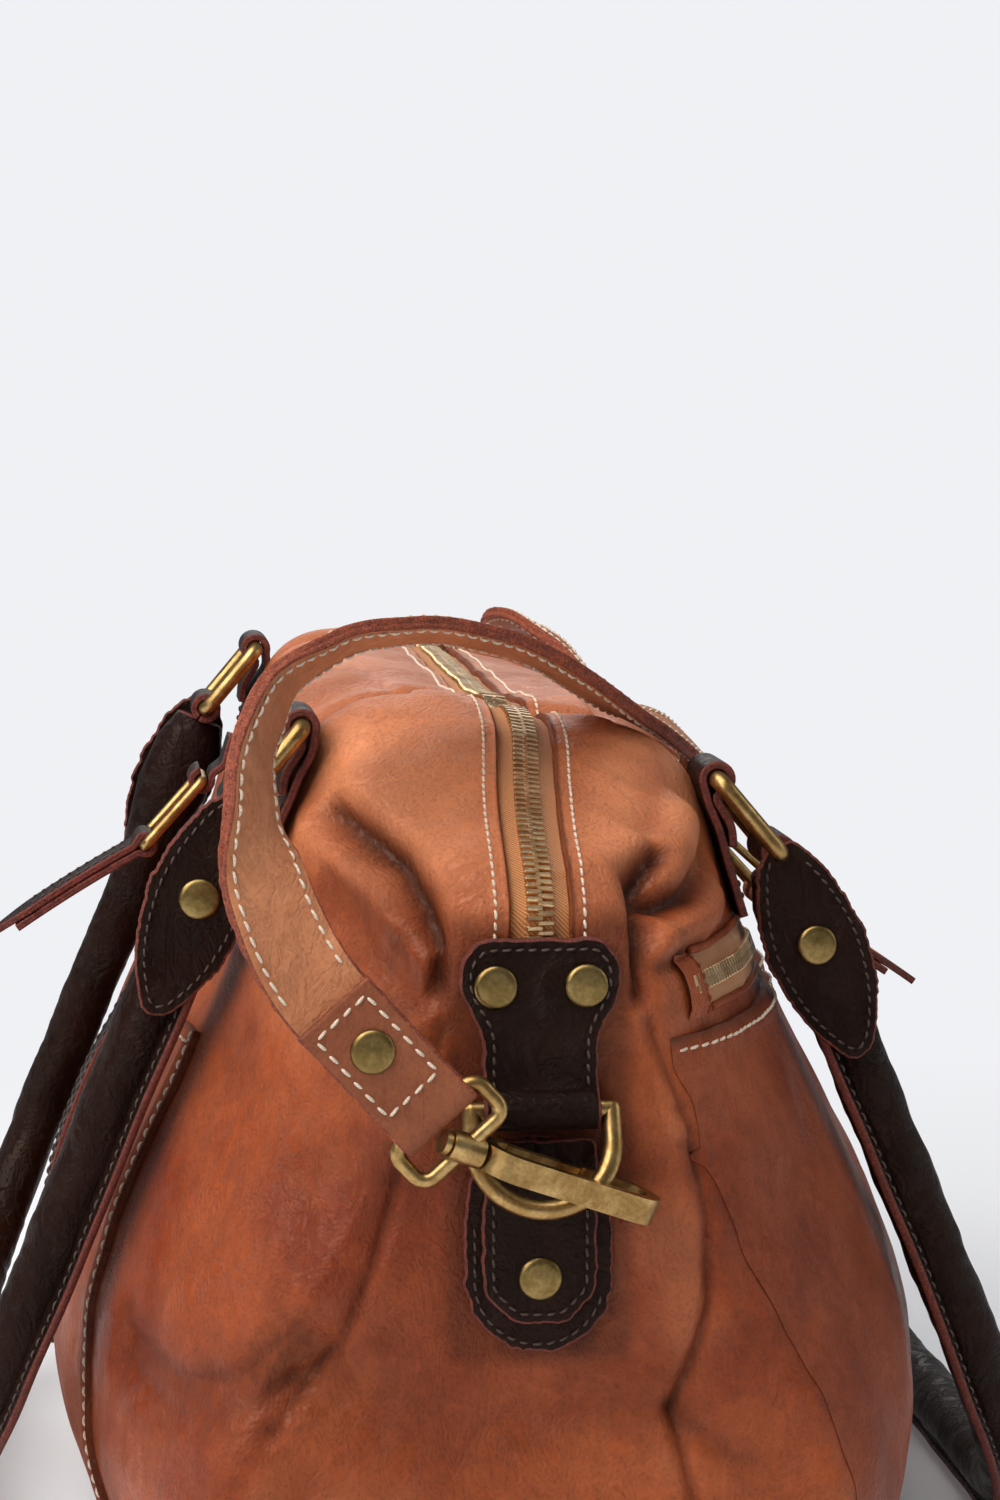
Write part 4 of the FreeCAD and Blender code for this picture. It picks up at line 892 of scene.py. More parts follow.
def hide(builder, outline, thick, origin, x_dir, y_dir, relief, seed, ragged, spacing=1.6):
    """A thick cut of leather with a soft face and a fibrous edge; slots 0 face, 1 edge."""
    origin, x_dir, y_dir = (np.asarray(v, float) for v in (origin, x_dir, y_dir))
    normal = np.cross(x_dir, y_dir)
    count = len(outline)
    rim = np.concatenate([outline, np.full((count, 1), seed * 7.0)], axis=1)
    outline = outline + unit(outline - outline.mean(axis=0)) * (
        ragged * waves(rim, 9.0, seed) + ragged * 0.5 * waves(rim, 3.0, seed + 1))[:, None]

    def lifted(flat_points, height):
        return (origin + flat_points[:, :1] * x_dir + flat_points[:, 1:2] * y_dir
                + (relief(flat_points) + height)[:, None] * normal)

    half = thick / 2
    levels = [(0.75, half), (0.3, half * 0.92), (0.0, half * 0.55), (0.12, 0.0),
              (0.0, -half * 0.55), (0.3, -half * 0.92), (0.75, -half)]
    loops = []
    for amount, height in levels:
        rough = ragged * 0.3 * waves(rim + vec(0, 0, height * 5), 2.2, seed + 3)
        loops.append(lifted(inset(outline, amount), height + rough * (abs(height) < half)))
    sides = grid_faces(len(levels), count, True)[:, ::-1]
    builder.add(np.concatenate(loops), sides, 1)
    top = inset(outline, 0.75)
    low, high = outline.min(axis=0), outline.max(axis=0)
    xs, ys = np.meshgrid(np.arange(low[0], high[0], spacing), np.arange(low[1], high[1], spacing))
    inner = np.stack([xs.ravel(), ys.ravel()], axis=1)
    distance = near_path(raised(inner), raised(np.concatenate([top, top[:1]])))[0]
    inner = inner[distance > spacing * 0.5]
    verts = [Vector(p) for p in np.concatenate([top, inner])]
    edges = [(k, (k + 1) % count) for k in range(count)]
    found = mathutils.geometry.delaunay_2d_cdt(verts, edges, [], 1, 1e-4)
    flat_points = np.array([list(v) for v in found[0]])
    builder.add(lifted(flat_points, half), found[2])
    builder.add(lifted(flat_points, -half), [face[::-1] for face in found[2]])


def ring_path(outline, amount, origin, x_dir, y_dir, height, relief, first, last):
    """Stitch route along an outline, inside it, on a hide's face; with its normal."""
    origin, x_dir, y_dir = (np.asarray(v, float) for v in (origin, x_dir, y_dir))
    inner = inset(outline, amount)
    count = len(inner)
    inner = inner[np.arange(int(first * count), int(last * count) + 1) % count]
    normal = np.cross(x_dir, y_dir)
    return (origin + inner[:, :1] * x_dir + inner[:, 1:2] * y_dir
            + (relief(inner) + height)[:, None] * normal), normal


def band(builder, path, axis, width, thick, widths=None, corner=0.7, ragged=0.2, seed=3):
    """Strap bent in a plane, its width along one axis; slot 0 for faces, 1 for raw edges."""
    path = np.asarray(path, float)
    along = tangents(path)
    axis = unit(axis)
    ups = np.cross(axis, along)
    outline, sides = slab(width, thick, corner, 0.15)
    scaled = np.repeat(outline[None], len(path), axis=0)
    if widths is not None:
        scaled[:, :, 0] *= np.asarray(widths)[:, None]
    edge = np.abs(outline[:, 0]) > width / 2 - corner
    for k in np.where(edge)[0]:
        spots = path + axis * outline[k, 0]
        scaled[:, k, 0] += np.sign(outline[k, 0]) * ragged * waves(spots, 6.0, seed)
    builder.sweep(path, ups, scaled, sides, 1)


def arc(centre, radius, start, end, first_axis, second_axis, count=28):
    """Points on a circle, angles in degrees from the first axis towards the second."""
    angles = np.radians(np.linspace(start, end, count))
    return (np.asarray(centre, float) + radius * np.cos(angles)[:, None] * np.asarray(first_axis)
            + radius * np.sin(angles)[:, None] * np.asarray(second_axis))


def skin_strip(side, y, heights, off):
    """Points a little off the flank of the finished body at one station."""
    spots = []
    for z in heights:
        spot, normal = on_skin((0, y, z), (side, 0, 0))
        outward = unit(vec(normal[0], 0, normal[2]))
        spots.append(spot + outward * off)
    return np.array(spots)


Y_AXIS = vec(0, 1, 0)
RING_PIVOT = {-1: vec(-63.2, 0, 282.5), 1: vec(63.9, 0, 265.0)}
HANDLE_PIVOT = {-1: vec(-82.5, 0, 259.6), 1: vec(83.2, 0, 242.0)}
BUCKLE_PIVOT = {-1: vec(-88.7, 0, 249.0), 1: vec(88.6, 0, 227.8)}
BUCKLE_OUTER = {-1: vec(-108.7, 0, 226.7), 1: vec(108.6, 0, 205.5)}
SIDE_NAMES = {-1: "front", 1: "back"}
LEATHER = 2.5
RING_HOLE = 3.2
RING_Y = 150.0
STRAP_WIDTH = 25.0
BUCKLE_HOLE = 2.2
TAIL_LENGTH = 62.0
BELT_WIDTH = 20.0
DARK = [CHOCOLATE, RED_EDGE]
BELT_LOOKS = {-1: DARK, 1: [TAN, RED_EDGE]}
FINE = {"pitch": 3.4, "length": 2.4}


def lean_dirs(side, degrees):
    """Down the lean and across it, outwards from the bag."""
    angle = math.radians(degrees)
    down = vec(side * math.sin(angle), 0, -math.cos(angle))
    return down, vec(-down[2], 0, down[0])


def loop_route(side, y, centre, heights, hole, upward_loop=True):
    """Strap route: along the skin, round the wire and a short way back over itself."""
    radius = hole + LEATHER / 2
    strip = skin_strip(side, y, heights, LEATHER / 2 + 0.3)
    inward = vec(-side, 0, 0)
    top = vec(0, 0, 1.0 if upward_loop else -1.0)
    loop = arc(centre, radius, -15, 262, inward, top)
    tail_end = skin_strip(side, y, [heights[-1] - (14 if upward_loop else -12)],
                          LEATHER * 1.5 + 0.6)
    back = np.array([loop[-1] * 0.45 + tail_end[0] * 0.55 + vec(side * 0.8, 0, 0), tail_end[0]])
    joint = strip[-1] * 0.5 + loop[0] * 0.5
    parts = [strip, [joint], loop] + ([back] if upward_loop else [])
    return evenly(curve_through(np.concatenate(parts), 260), 1.2)


# ---------------------------------------------------------------- chapes, belts and their ends
for side in (-1, 1):
    name = SIDE_NAMES[side]
    straps, sewing = Builder(), Builder()
    for end in (-1, 1):
        centre = RING_PIVOT[side] + Y_AXIS * RING_Y * end
        top = centre[2] - 8
        route = loop_route(side, RING_Y * end, centre, np.linspace(222, top, 9), RING_HOLE)
        band(straps, route, Y_AXIS * side, STRAP_WIDTH, LEATHER, seed=5 + end)
        strip = skin_strip(side, RING_Y * end, np.linspace(226, top - 16, 12), LEATHER + 0.5)
        for edge_y in (-9.6, 9.6):
            stitches(sewing, strip + Y_AXIS * edge_y, vec(side, 0, 0.35), thick=0.8, **FINE)
    straps.make(name + "_chape_straps", DARK, "bag", "dark_leather", [name + "_chapes"])
    sewing.make(name + "_chape_stitching", DARK_THREAD, "bag", "dark_leather")

    # upper belt: a strap on the shoulder with a loop that carries the buckle
    belts = Builder()
    centre = BUCKLE_PIVOT[side]
    route = loop_route(side, 0.0, centre, np.linspace(263, centre[2] + 6, 7), BUCKLE_HOLE, False)
    band(belts, route, Y_AXIS * -side, BELT_WIDTH, LEATHER, seed=9)
    belts.make(name + "_upper_belt", BELT_LOOKS[side], "bag", "dark_leather",
               [name + "_belt_upper"])
    # tail: folded round the buckle's outer bar, two layers standing out
    tail = Builder()
    outer = BUCKLE_OUTER[side]
    down, over = lean_dirs(side, 62.0)
    over = over * side
    loop = arc(outer, BUCKLE_HOLE + LEATHER / 2, -90, 90, -down, over, 18)
    length = np.linspace(3.0, TAIL_LENGTH, 26)[:, None]
    sag = (length / TAIL_LENGTH)**2 * 5.0
    upper = outer + over * (LEATHER / 2 + 0.1) + down * length - vec(0, 0, 1) * sag
    lower = outer - over * (LEATHER / 2 + 0.1) + down * length - vec(0, 0, 1) * sag
    route = evenly(np.concatenate([lower[20::-1], loop, upper]), 1.2)
    place = np.linalg.norm(route - outer, axis=1) / TAIL_LENGTH
    first_half = np.arange(len(route)) > len(route) * 0.46
    widths = np.where(first_half, 1 - 0.75 * ease(0.72, 1.0, place), 1.0)
    if side > 0:
        # a slot at the bar takes the buckle's tongue
        slotted = np.where(np.linalg.norm(route - outer, axis=1) < 11.0)[0]
        first, last = slotted[0], slotted[-1]
        for lane in (-6.4, 6.4):
            band(tail, route[first:last + 1] + Y_AXIS * lane, Y_AXIS, 7.2, LEATHER, seed=11)
        for part in (slice(None, first + 1), slice(last, None)):
            band(tail, route[part], Y_AXIS, BELT_WIDTH, LEATHER, widths[part], seed=11)
    else:
        band(tail, route, Y_AXIS, BELT_WIDTH, LEATHER, widths, seed=11)
    sew = Builder()
    for edge_y in (-6.6, 6.6):
        stitches(sew, upper[1:18] + over * (LEATHER / 2 - 0.1) + Y_AXIS * edge_y, over, thick=0.7,
                 **FINE)
    tail.make(name + "_tail_strap", BELT_LOOKS[side], name + "_belt_tail", "dark_leather",
              [name + "_belt_tail"])
    sew.make(name + "_tail_stitching", DARK_THREAD, name + "_belt_tail", "dark_leather")


# ---------------------------------------------------------------- pockets
def pocket(name, side, half_length, foot, hem, body_off, node, step, soft_ends=False):
    """Flat pocket sewn on a flank: a skin of its own with turned edges."""
    count = int(2 * half_length / step)
    ys = np.linspace(-half_length, half_length, count + 1)
    zs = np.linspace(foot, hem, int((hem - foot) / step) + 1)
    face = np.zeros((len(zs), len(ys), 3))
    for i, z in enumerate(zs):
        for j, y in enumerate(ys):
            face[i, j] = on_skin((0, y, z), (side, 0, 0))[0]
    for _ in range(5):
        face[1:-1, 1:-1] += 0.5 * ((face[:-2, 1:-1] + face[2:, 1:-1] + face[1:-1, :-2]
                                    + face[1:-1, 2:]) / 4 - face[1:-1, 1:-1])
    facing = unit(np.cross(np.gradient(face, axis=1), np.gradient(face, axis=0)))
    facing *= np.where(np.sum(facing * vec(side, 0, 0), axis=-1, keepdims=True) < 0, -1, 1)
    drop = np.minimum(np.arange(len(zs))[::-1, None], 6) * step
    lateral = np.minimum(np.arange(len(ys)), np.arange(len(ys))[::-1])[None, :] * step
    edge = np.broadcast_to(drop, face.shape[:2]) if soft_ends else np.minimum(drop, lateral)
    height = body_off + 0.9 * np.exp(-((edge - 4.5) / 2.4)**2) - 0.5 * np.exp(
        -((edge - 1.8) / 0.9)**2)
    height = height + 0.35 * waves(face, 34.0, 21)
    if soft_ends:
        height = height * (0.15 + 0.85 * ease(0, 16, lateral))
    outer = face + facing * height[..., None]
    rows_n, cols_n = outer.shape[:2]
    build = Builder()
    back = face - facing * 1.0
    quads = grid_faces(rows_n, cols_n)
    # painted shade along the pocket's edges, and darker towards the bottom
    pocket_shade = 0.75 * np.exp(-(edge / 2.2)**2) + 0.3 * ease(40, 20, face[..., 2])
    build.add(outer, quads[:, ::side])
    # turned rim
    border = ([(rows_n - 1, j) for j in range(cols_n)]
              + [(i, cols_n - 1) for i in range(rows_n - 2, -1, -1)]
              + [(0, j) for j in range(cols_n - 2, -1, -1)] + [(i, 0) for i in range(1, rows_n - 1)])
    picks = tuple(np.array(border).T)
    middle_ring = outer[picks] - facing[picks] * body_off * 0.5
    rim = np.concatenate([outer[picks], middle_ring, back[picks]])
    quads = grid_faces(3, len(border), True)
    build.add(rim, quads[:, ::-side])
    # the turned rim gets painted shade as well
    paint = np.concatenate([pocket_shade.ravel(), np.full(len(rim), 0.7)])
    build.make(name, POCKET, "bag", "body_leather", [node],
               paints={"shade_and_mottle": paint, "lift": np.zeros(len(paint))})
    return outer, facing


step = 2.0
back_face, back_facing = pocket("back_pocket_skin", 1, 229.0, 14.0, 198.0, POCKET_THICK,
                                "back_pocket", step, True)
front_face, front_facing = pocket("front_pocket_skin", -1, 142.0, 14.0, 186.0, POCKET_THICK,
                                  "front_pocket", step)
hem = Builder()
COARSE = {"pitch": 4.6, "length": 3.4, "thick": 1.0}
row = -1 - int(round(3.0 / step))
for face, facing in ((back_face, back_facing), (front_face, front_facing)):
    stitches(hem, face[row, 1:-1], facing[row, 1:-1], **COARSE)
for column in (1, -2):
    stitches(hem, front_face[:, column], front_facing[:, column], **COARSE)
hem.make("pocket_stitching", CREAM, "bag", "tan_leather")

# pocket zip: tape, teeth and a leather welt along each edge
zip_ys = np.linspace(-219, 219, 250)
tape_levels = np.array([204, 206, 208.6, 209.2, 211.5, 213.8, 214.4, 217, 219.0])
tape_rise = np.array([0.5, 0.9, 0.9, 1.3, 1.3, 1.3, 0.9, 0.9, 0.5])
strip = np.zeros((len(zip_ys), len(tape_levels), 3))
spine, spine_up = [], []
for i, y in enumerate(zip_ys):
    for j, z in enumerate(tape_levels):
        spot, normal = on_skin((0, y, z), (1, 0, 0))
        strip[i, j] = spot + normal * tape_rise[j]
        if j == 4:
            spine.append(spot + normal * 1.6)
            spine_up.append(normal)
tape = Builder()
tape.add(strip, grid_faces(len(zip_ys), len(tape_levels)))
tape.make("pocket_zip_tapes", TWILL, "bag", "zip_tape", ["pocket_zip_tape"])
chain = Builder()
zip_teeth(chain, smoothed(np.array(spine), 6), smoothed(np.array(spine_up), 6), width=5.4,
          pitch=2.5)
chain.make("pocket_zip_teeth", TEETH, "bag", "antique_brass", ["pocket_zip_chain"], smooth=False)
welt = Builder()
for z in (203.4, 220.2):
    path = np.array([on_skin((0, y, z), (1, 0, 0), 0.6)[0] for y in np.linspace(-209, 209, 200)])
    welt.sweep(smoothed(path, 4), vec(1, 0, 0.3), circle(1.3, 8) * vec(1, 0.8)[None])
welt.make("pocket_zip_welts", POCKET, "bag", "body_leather")

# leather ends sewn over the pocket zip
ends, sewing = Builder(), Builder()
for end in (-1, 1):
    ys, zs = np.linspace(212, 222, 10) * end, np.linspace(202, 221, 14)
    cover = np.zeros((len(ys), len(zs), 3))
    for i, y in enumerate(ys):
        for j, z in enumerate(zs):
            bow = 3.0 * ((z - 211.5) / 10.5)**2
            spot, normal = on_skin((0, y + bow * end * (i == 0), z), (1, 0, 0))
            off = 2.9 - 1.6 * ease(0.5, 1.0, abs(z - 211.5) / 10.5) - 1.2 * ease(
                4, 9, i) - 0.9 * (i == 0)
            cover[i, j] = spot + normal * off
    quads = grid_faces(len(ys), len(zs))
    ends.add(cover, quads[:, ::end])
    stitches(sewing, cover[2] + vec(0.35, 0, 0), unit(cover[2] - vec(0, ys[2], 190)), pitch=3.2,
             length=2.2, thick=0.8)
ends.make("pocket_zip_ends", POCKET, "bag", "body_leather")
sewing.make("pocket_zip_end_stitching", RUST_THREAD, "bag", "dark_leather")

# ---------------------------------------------------------------- handles and leaves
TUBE = 9.5


def handle(side):
    """Rolled handle with fine wrinkles and a stitched fin, and the leaves at its ends."""
    name = SIDE_NAMES[side]
    pivot = HANDLE_PIVOT[side]
    down, over = lean_dirs(side, 22.5)
    start, drop, bend = 6.0, 244.0, 82.0

    def spot(y, along):
        return vec(pivot[0], y, pivot[2]) + down * along

    near_arc = arc(spot(bend - RING_Y, drop - bend), bend, 0, 90, -Y_AXIS, down, 40)
    far_arc = arc(spot(RING_Y - bend, drop - bend), bend, 90, 0, Y_AXIS, down, 40)
    path = evenly(np.concatenate([[spot(-RING_Y, start)], near_arc, far_arc,
                                  [spot(RING_Y, start)]]), 1.6)
    along = tangents(path)
    outwards = unit(np.cross(along, np.broadcast_to(over, along.shape)))
    centre = spot(0, drop * 0.5)
    outwards *= np.where(np.sum(outwards * (path - centre), axis=1, keepdims=True) < 0, -1, 1)
    body_side = -over if np.dot(over, vec(side, 0, 0)) > 0 else over
    fin = unit(outwards * math.cos(math.radians(38)) + body_side * math.sin(math.radians(38)))
    side_dir = unit(np.cross(along, fin))
    profiles = np.repeat(circle(TUBE, 36)[None], len(path), axis=0)
    around = path[:, None, :] + profiles[:, :, :1] * side_dir[:, None] + (
        profiles[:, :, 1:2] * fin[:, None])
    wrinkle = waves(around, 7.0, 31) * 0.16 + waves(around, 23.0, 32) * 0.3
    profiles = profiles * (1 + wrinkle / TUBE)[..., None]
    tube = Builder()
    tube.sweep(path, fin, profiles)
    # fin: the two edges of the rolled leather sewn flat together
    fin_path = path + fin * (TUBE + 2.6)
    sway = waves(fin_path, 40.0, 33)[:, None] * 0.5
    fin_path = fin_path + side_dir * sway
    fin_profile = np.array([(-1.5, -4.2), (1.5, -4.2), (1.5, -1.0), (1.45, 1.6), (1.0, 2.6),
                            (-1.0, 2.6), (-1.45, 1.6), (-1.5, -1.0)])
    tube.sweep(fin_path, fin, fin_profile, [0, 0, 0, 1, 1, 1, 0, 0])
    tube.make(name + "_handle_roll", DARK, name + "_handle", "dark_leather",
              [name + "_handle_tube"])
    sewing = Builder()
    for hand in (1, -1):
        row = fin_path + side_dir * hand * 1.62 + fin * 0.2
        keep = slice(26, len(path) - 26)
        stitches(sewing, row[keep], side_dir[keep] * hand, pitch=4.2, length=3.0, thick=0.8)
    leaves = Builder()
    outline = outline_curve([(-6.5, 3), (-13.5, -14), (-16.5, -31), (-13.5, -52), (-4, -70),
                             (5, -68.5), (13.5, -52), (16.5, -31), (13.5, -14), (6.5, 3)],
                            corner=9.0)
    heads = Builder()
    for end in (-1, 1):
        origin = vec(pivot[0], end * (RING_Y + TUBE + 1.7), pivot[2])
        x_dir, y_dir = over * -end, -down
        if np.dot(np.cross(x_dir, y_dir), Y_AXIS * end) < 0:
            x_dir = -x_dir

        def relief(points):
            rim = (points[:, 0] / 17.0)**2
            return 0.5 * waves(raised(points), 26.0, 40 + end) - ease(0.2, 1.0, rim)

        hide(leaves, outline, 3.4, origin, x_dir, y_dir, relief, seed=44 + end, ragged=0.5)
        row, normal = ring_path(outline, 3.2, origin, x_dir, y_dir, 1.8, relief, 0.03, 0.93)
        stitches(sewing, row, normal, pitch=3.6, length=2.5, thick=0.8)
        # the wrapped leather that carries the tube's end on the ring
        ring_centre = vec(pivot[0], RING_Y * end, pivot[2])
        loop = arc(ring_centre, RING_HOLE + LEATHER / 2, -100, 250, over, -down, 40)
        band(leaves, loop, Y_AXIS, STRAP_WIDTH, LEATHER, seed=47 + end)
        socket = evenly(np.array([ring_centre + down * 5.5, ring_centre + down * 58]), 1.5)
        share = np.linspace(0, 1, len(socket))
        size_in = np.interp(share, [0, 0.15, 0.5, 1], [1.0, 1.13, 1.16, 1.06])
        wide = np.interp(share, [0, 0.2, 0.55, 1], [0.95, 1.35, 1.45, 1.05])
        shape = circle(TUBE, 28)[None] * np.stack([wide, size_in], axis=1)[:, None]
        leaves.sweep(socket, Y_AXIS, shape, cap_slot=1)
        rivet_head(heads, origin + down * 31 + normal * 1.6, normal, 6.2, 1.9)
    leaves.make(name + "_leaf_leather", DARK, name + "_handle", "dark_leather",
                [name + "_handle_leaves"])
    sewing.make(name + "_handle_stitching", DARK_THREAD, name + "_handle", "dark_leather")
    heads.make(name + "_leaf_rivets", RIVET, name + "_handle", "antique_brass",
               [name + "_handle_rivets"])


handle(-1)
handle(1)

# ---------------------------------------------------------------- end tabs
END = 232.0
BAR_Z, BAR_HOLE = 180.0, 3.25
BAR_OFF = 0.3 + BAR_HOLE + LEATHER


def end_tab(label, sign):
    """Oval patch, lower tail and riveted tab that hold the D-ring on one end."""
    x_axis, z_axis = vec(sign, 0, 0), vec(0, 0, 1)
    outward = vec(0, -sign, 0)

    def at(off, z):
        return turn(vec(0, -END - off, z), sign)

    sewing, heads = Builder(), Builder()
    # oval patch
    patch = Builder()
    angles = np.linspace(0, 2 * math.pi, 60, endpoint=False)
    oval = np.stack([21.5 * np.cos(angles),
                     np.where(np.sin(angles) > 0, 10.5, -10.5) + 21.5 * np.sin(angles)], axis=1)
    oval = evenly(raised(np.concatenate([oval, oval[:1]])), 0.9)[:-1, :2]
    origin = at(1.0, 140)

    def patch_relief(points):
        rim = ease(12, 22, np.abs(points[:, 1]))
        return 0.6 * rim + 0.25 * waves(raised(points), 20.0, 51)

    hide(patch, oval, 2.2, origin, x_axis, z_axis, patch_relief, seed=52, ragged=0.5)
    patch.make(label + "_patch_leather", DARK, "bag", "dark_leather", [label + "_tab_patch"])
    row, normal = ring_path(oval, 2.8, origin, x_axis, z_axis, 1.15, patch_relief, 0.53, 0.97)
    stitches(sewing, row, normal, pitch=3.8, length=2.6, thick=0.8)
    # tail below the ring
    tail = Builder()
    outline = outline_curve([(-16.5, 30), (-16.5, -15), (-7.4, -24), (7.4, -24), (16.5, -15),
                             (16.5, 30)], corner=4.0)
    origin = at(3.2, 141)

    def tail_relief(points):
        return (0.8 * ease(10, 28, points[:, 1]) - 0.5 * (points[:, 0] / 16.0)**2
                + 0.25 * waves(raised(points), 22.0, 55))

    hide(tail, outline, 2.6, origin, x_axis, z_axis, tail_relief, seed=56, ragged=0.35)
    tail.make(label + "_tail_leather", DARK, "bag", "dark_leather", [label + "_tab_tail"])
    row, normal = ring_path(outline, 3.0, origin, x_axis, z_axis, 1.4, tail_relief, 0.02, 0.75)
    stitches(sewing, row, normal, pitch=3.8, length=2.6, thick=0.8)
    rivet_head(heads, origin + z_axis * -10.5 + outward * 1.0, outward, 6.3, 2.0)
    # tab: two layers folded round the ring's bar
    tab = Builder()
    outline = outline_curve([(-16.5, 0), (16.5, 0), (16.5, 22), (23, 33), (23, 42.5), (17.5, 49),
                             (-17.5, 49), (-23, 42.5), (-23, 33), (-16.5, 22)], corner=3.5)
    origin = at(3.3, BAR_Z)

    def tab_relief(points):
        pillow = 1.1 * np.exp(-((points[:, 1] - 26) / 12.0)**2)
        dimple = sum(-0.9 * np.exp(-np.sum((points - vec(cx, 35.5))**2, axis=1) / 60.0)
                     for cx in (-13, 13))
        return (pillow + dimple - 0.7 * (points[:, 0] / 20.0)**2
                + 2.4 * ease(9, 0, points[:, 1])
                + 0.3 * waves(raised(points), 24.0, 58))

    hide(tab, outline, 4.6, origin, x_axis, z_axis, tab_relief, seed=59, ragged=0.4)
    centre = at(BAR_OFF, BAR_Z)
    loop = arc(centre, BAR_HOLE + LEATHER / 2, -95, 120, outward, -z_axis, 30)
    band(tab, loop, x_axis, 33.0, LEATHER, seed=60)
    tab.make(label + "_tab_leather", DARK, "bag", "dark_leather", [label + "_tab"])
    row, normal = ring_path(outline, 3.0, origin, x_axis, z_axis, 2.4, tab_relief, 0.21, 0.99)
    stitches(sewing, row, normal, pitch=3.6, length=2.5, thick=0.85)
    for cx in (-13, 13):
        rivet_head(heads, origin + x_axis * cx + z_axis * 35.5 + outward * 2.0, outward, 6.3, 2.1)
    sewing.make(label + "_tab_stitching", DARK_THREAD, "bag", "dark_leather")
    heads.make(label + "_tab_heads", RIVET, "bag", "antique_brass", [label + "_tab_rivets"])


near_and_far(end_tab)

# ---------------------------------------------------------------- shoulder strap
CLASP_BAR = vec(-33, -259.8, 184)
turn_angle = math.radians(42)
BAR_DIR = vec(math.cos(turn_angle), 0, math.sin(turn_angle))
STRAP_DIR = vec(-math.sin(turn_angle), 0, math.cos(turn_angle))
PATCH_END = CLASP_BAR + STRAP_DIR * 42


def on_flank(y, z, lift):
    """Point and facing off the back flank of the plain form."""
    spot, normal, _, _ = form.ray_cast(Vector((600, y, z)), Vector((-1, 0, 0)))
    normal = np.array(normal) * (1 if normal[0] > 0 else -1)
    return np.array(spot) + normal * lift, normal


def strap_course():
    """Middle line of the shoulder strap from clasp to clasp, and its face's direction."""
    climb = [(PATCH_END, vec(0, 1, 0)), (vec(-78, -256.8, 246), vec(-0.3, 0.9, -0.15)),
             (vec(-82, -247.8, 270), vec(-0.84, 0.5, -0.2)),
             (vec(-77, -229, 292), vec(-0.9, 0.36, 0.1)),
             (vec(-61, -208, 307), vec(-0.7, 0.2, 0.68)), (vec(-38, -192, 313), vec(-0.2, 0.25, 0.95)),
             (vec(-10, -176, 310), vec(0.2, 0.25, 0.94)), (vec(16, -158, 299), vec(0.45, 0.2, 0.87)),
             (vec(40, -134, 283), vec(0.5, 0.15, 0.85))]
    rest = [on_flank(y, z, lift) for y, z, lift in
            ((-100, 266, 6.0), (-56, 250, 6.0), (0, 244, 7.5), (56, 250, 6.0), (100, 268, 6.0))]
    descent = [(vec(46, 136, 289), vec(0.5, 0, 0.86)), (vec(40, 160, 290), vec(0.3, 0.15, 0.94)),
               (vec(44, 186, 281), vec(0.25, 0.4, 0.88)), (vec(58, 212, 269), vec(0.5, 0.5, 0.7)),
               (vec(72, 232, 257.5), vec(0.7, 0.6, 0.35)), (vec(79, 247, 248), vec(0.6, 0.75, 0.15)),
               (vec(77, 256, 237), vec(0.3, 0.93, 0.1)),
               (PATCH_END * vec(-1, -1, 1), vec(0, 1, 0))]
    route = climb + rest + descent
    spots, facings = (np.array(column) for column in zip(*route))
    facings = unit(facings)
    knots = lengths(spots)
    dense = curve_through(spots, 900, STRAP_DIR, vec(STRAP_DIR[0], 0, -STRAP_DIR[2]))
    share = np.linspace(0, knots[-1], len(dense))
    cell = np.clip(np.searchsorted(knots, share, side="right") - 1, 0, len(knots) - 2)
    local = (share - knots[cell]) / (knots[cell + 1] - knots[cell])
    mix = (local * local * (3 - 2 * local))[:, None]
    ups = unit(facings[cell] * (1 - mix) + facings[cell + 1] * mix)
    lead = np.linspace(8.5, 42, 24)[:-1, None]
    run = np.concatenate([CLASP_BAR + STRAP_DIR * lead, dense,
                          (CLASP_BAR * vec(-1, -1, 1) + STRAP_DIR * vec(-1, -1, 1) * lead)[::-1]])
    run_ups = np.concatenate([np.repeat(ups[:1], len(lead), axis=0), ups,
                              np.repeat(ups[-1:], len(lead), axis=0)])
    length = lengths(run)
    stations = np.linspace(0, length[-1], int(length[-1] / (1.2)))
    return sampled(run, length, stations), unit(sampled(run_ups, length, stations))


run, run_ups = strap_course()
outline, sides = slab(STRAP_WIDTH, 4.0, 0.6, 0.35, 14)
profiles = np.repeat(outline[None], len(run), axis=0)
crown = 0.35 * (1 - (outline[:, 0] / 12.5)**2) * np.sign(outline[:, 1]) * (np.array(sides) == 0)
hollow = -0.35 * np.exp(-((np.abs(outline[:, 0]) - 9.6) / 0.8)**2) * np.sign(outline[:, 1])
profiles[:, :, 1] += crown + hollow * (np.abs(outline[:, 1]) > 1.9)
for k in range(len(outline)):
    profiles[:, k, 1] += 0.22 * waves(run + run_ups * outline[k, 0], 30.0, 71)
    if abs(outline[k, 0]) > 12.0:
        profiles[:, k, 0] += np.sign(outline[k, 0]) * 0.3 * waves(
            run + run_ups * outline[k, 1], 5.0, 72 + (outline[k, 0] > 0))
strap = Builder()
strap.sweep(run, run_ups, profiles, sides, 1)
strap.make("strap_leather", [TAN, RUST_EDGE], "bag", "tan_leather", ["shoulder_strap"])
sewing = Builder()
along = tangents(run)
across_run = unit(np.cross(along, run_ups))
inside = slice(int(len(run) * 0.052), int(len(run) * 0.948))
for edge_side in (-9.6, 9.6):
    for face_side in (-1, 1):
        facing = np.cross(across_run, along) * face_side
        row = run + across_run * edge_side + facing * 2.0
        stitches(sewing, row[inside], facing[inside], pitch=4.6, length=3.5, thick=1.0)
sewing.make("strap_stitching", CREAM, "bag", "tan_leather")


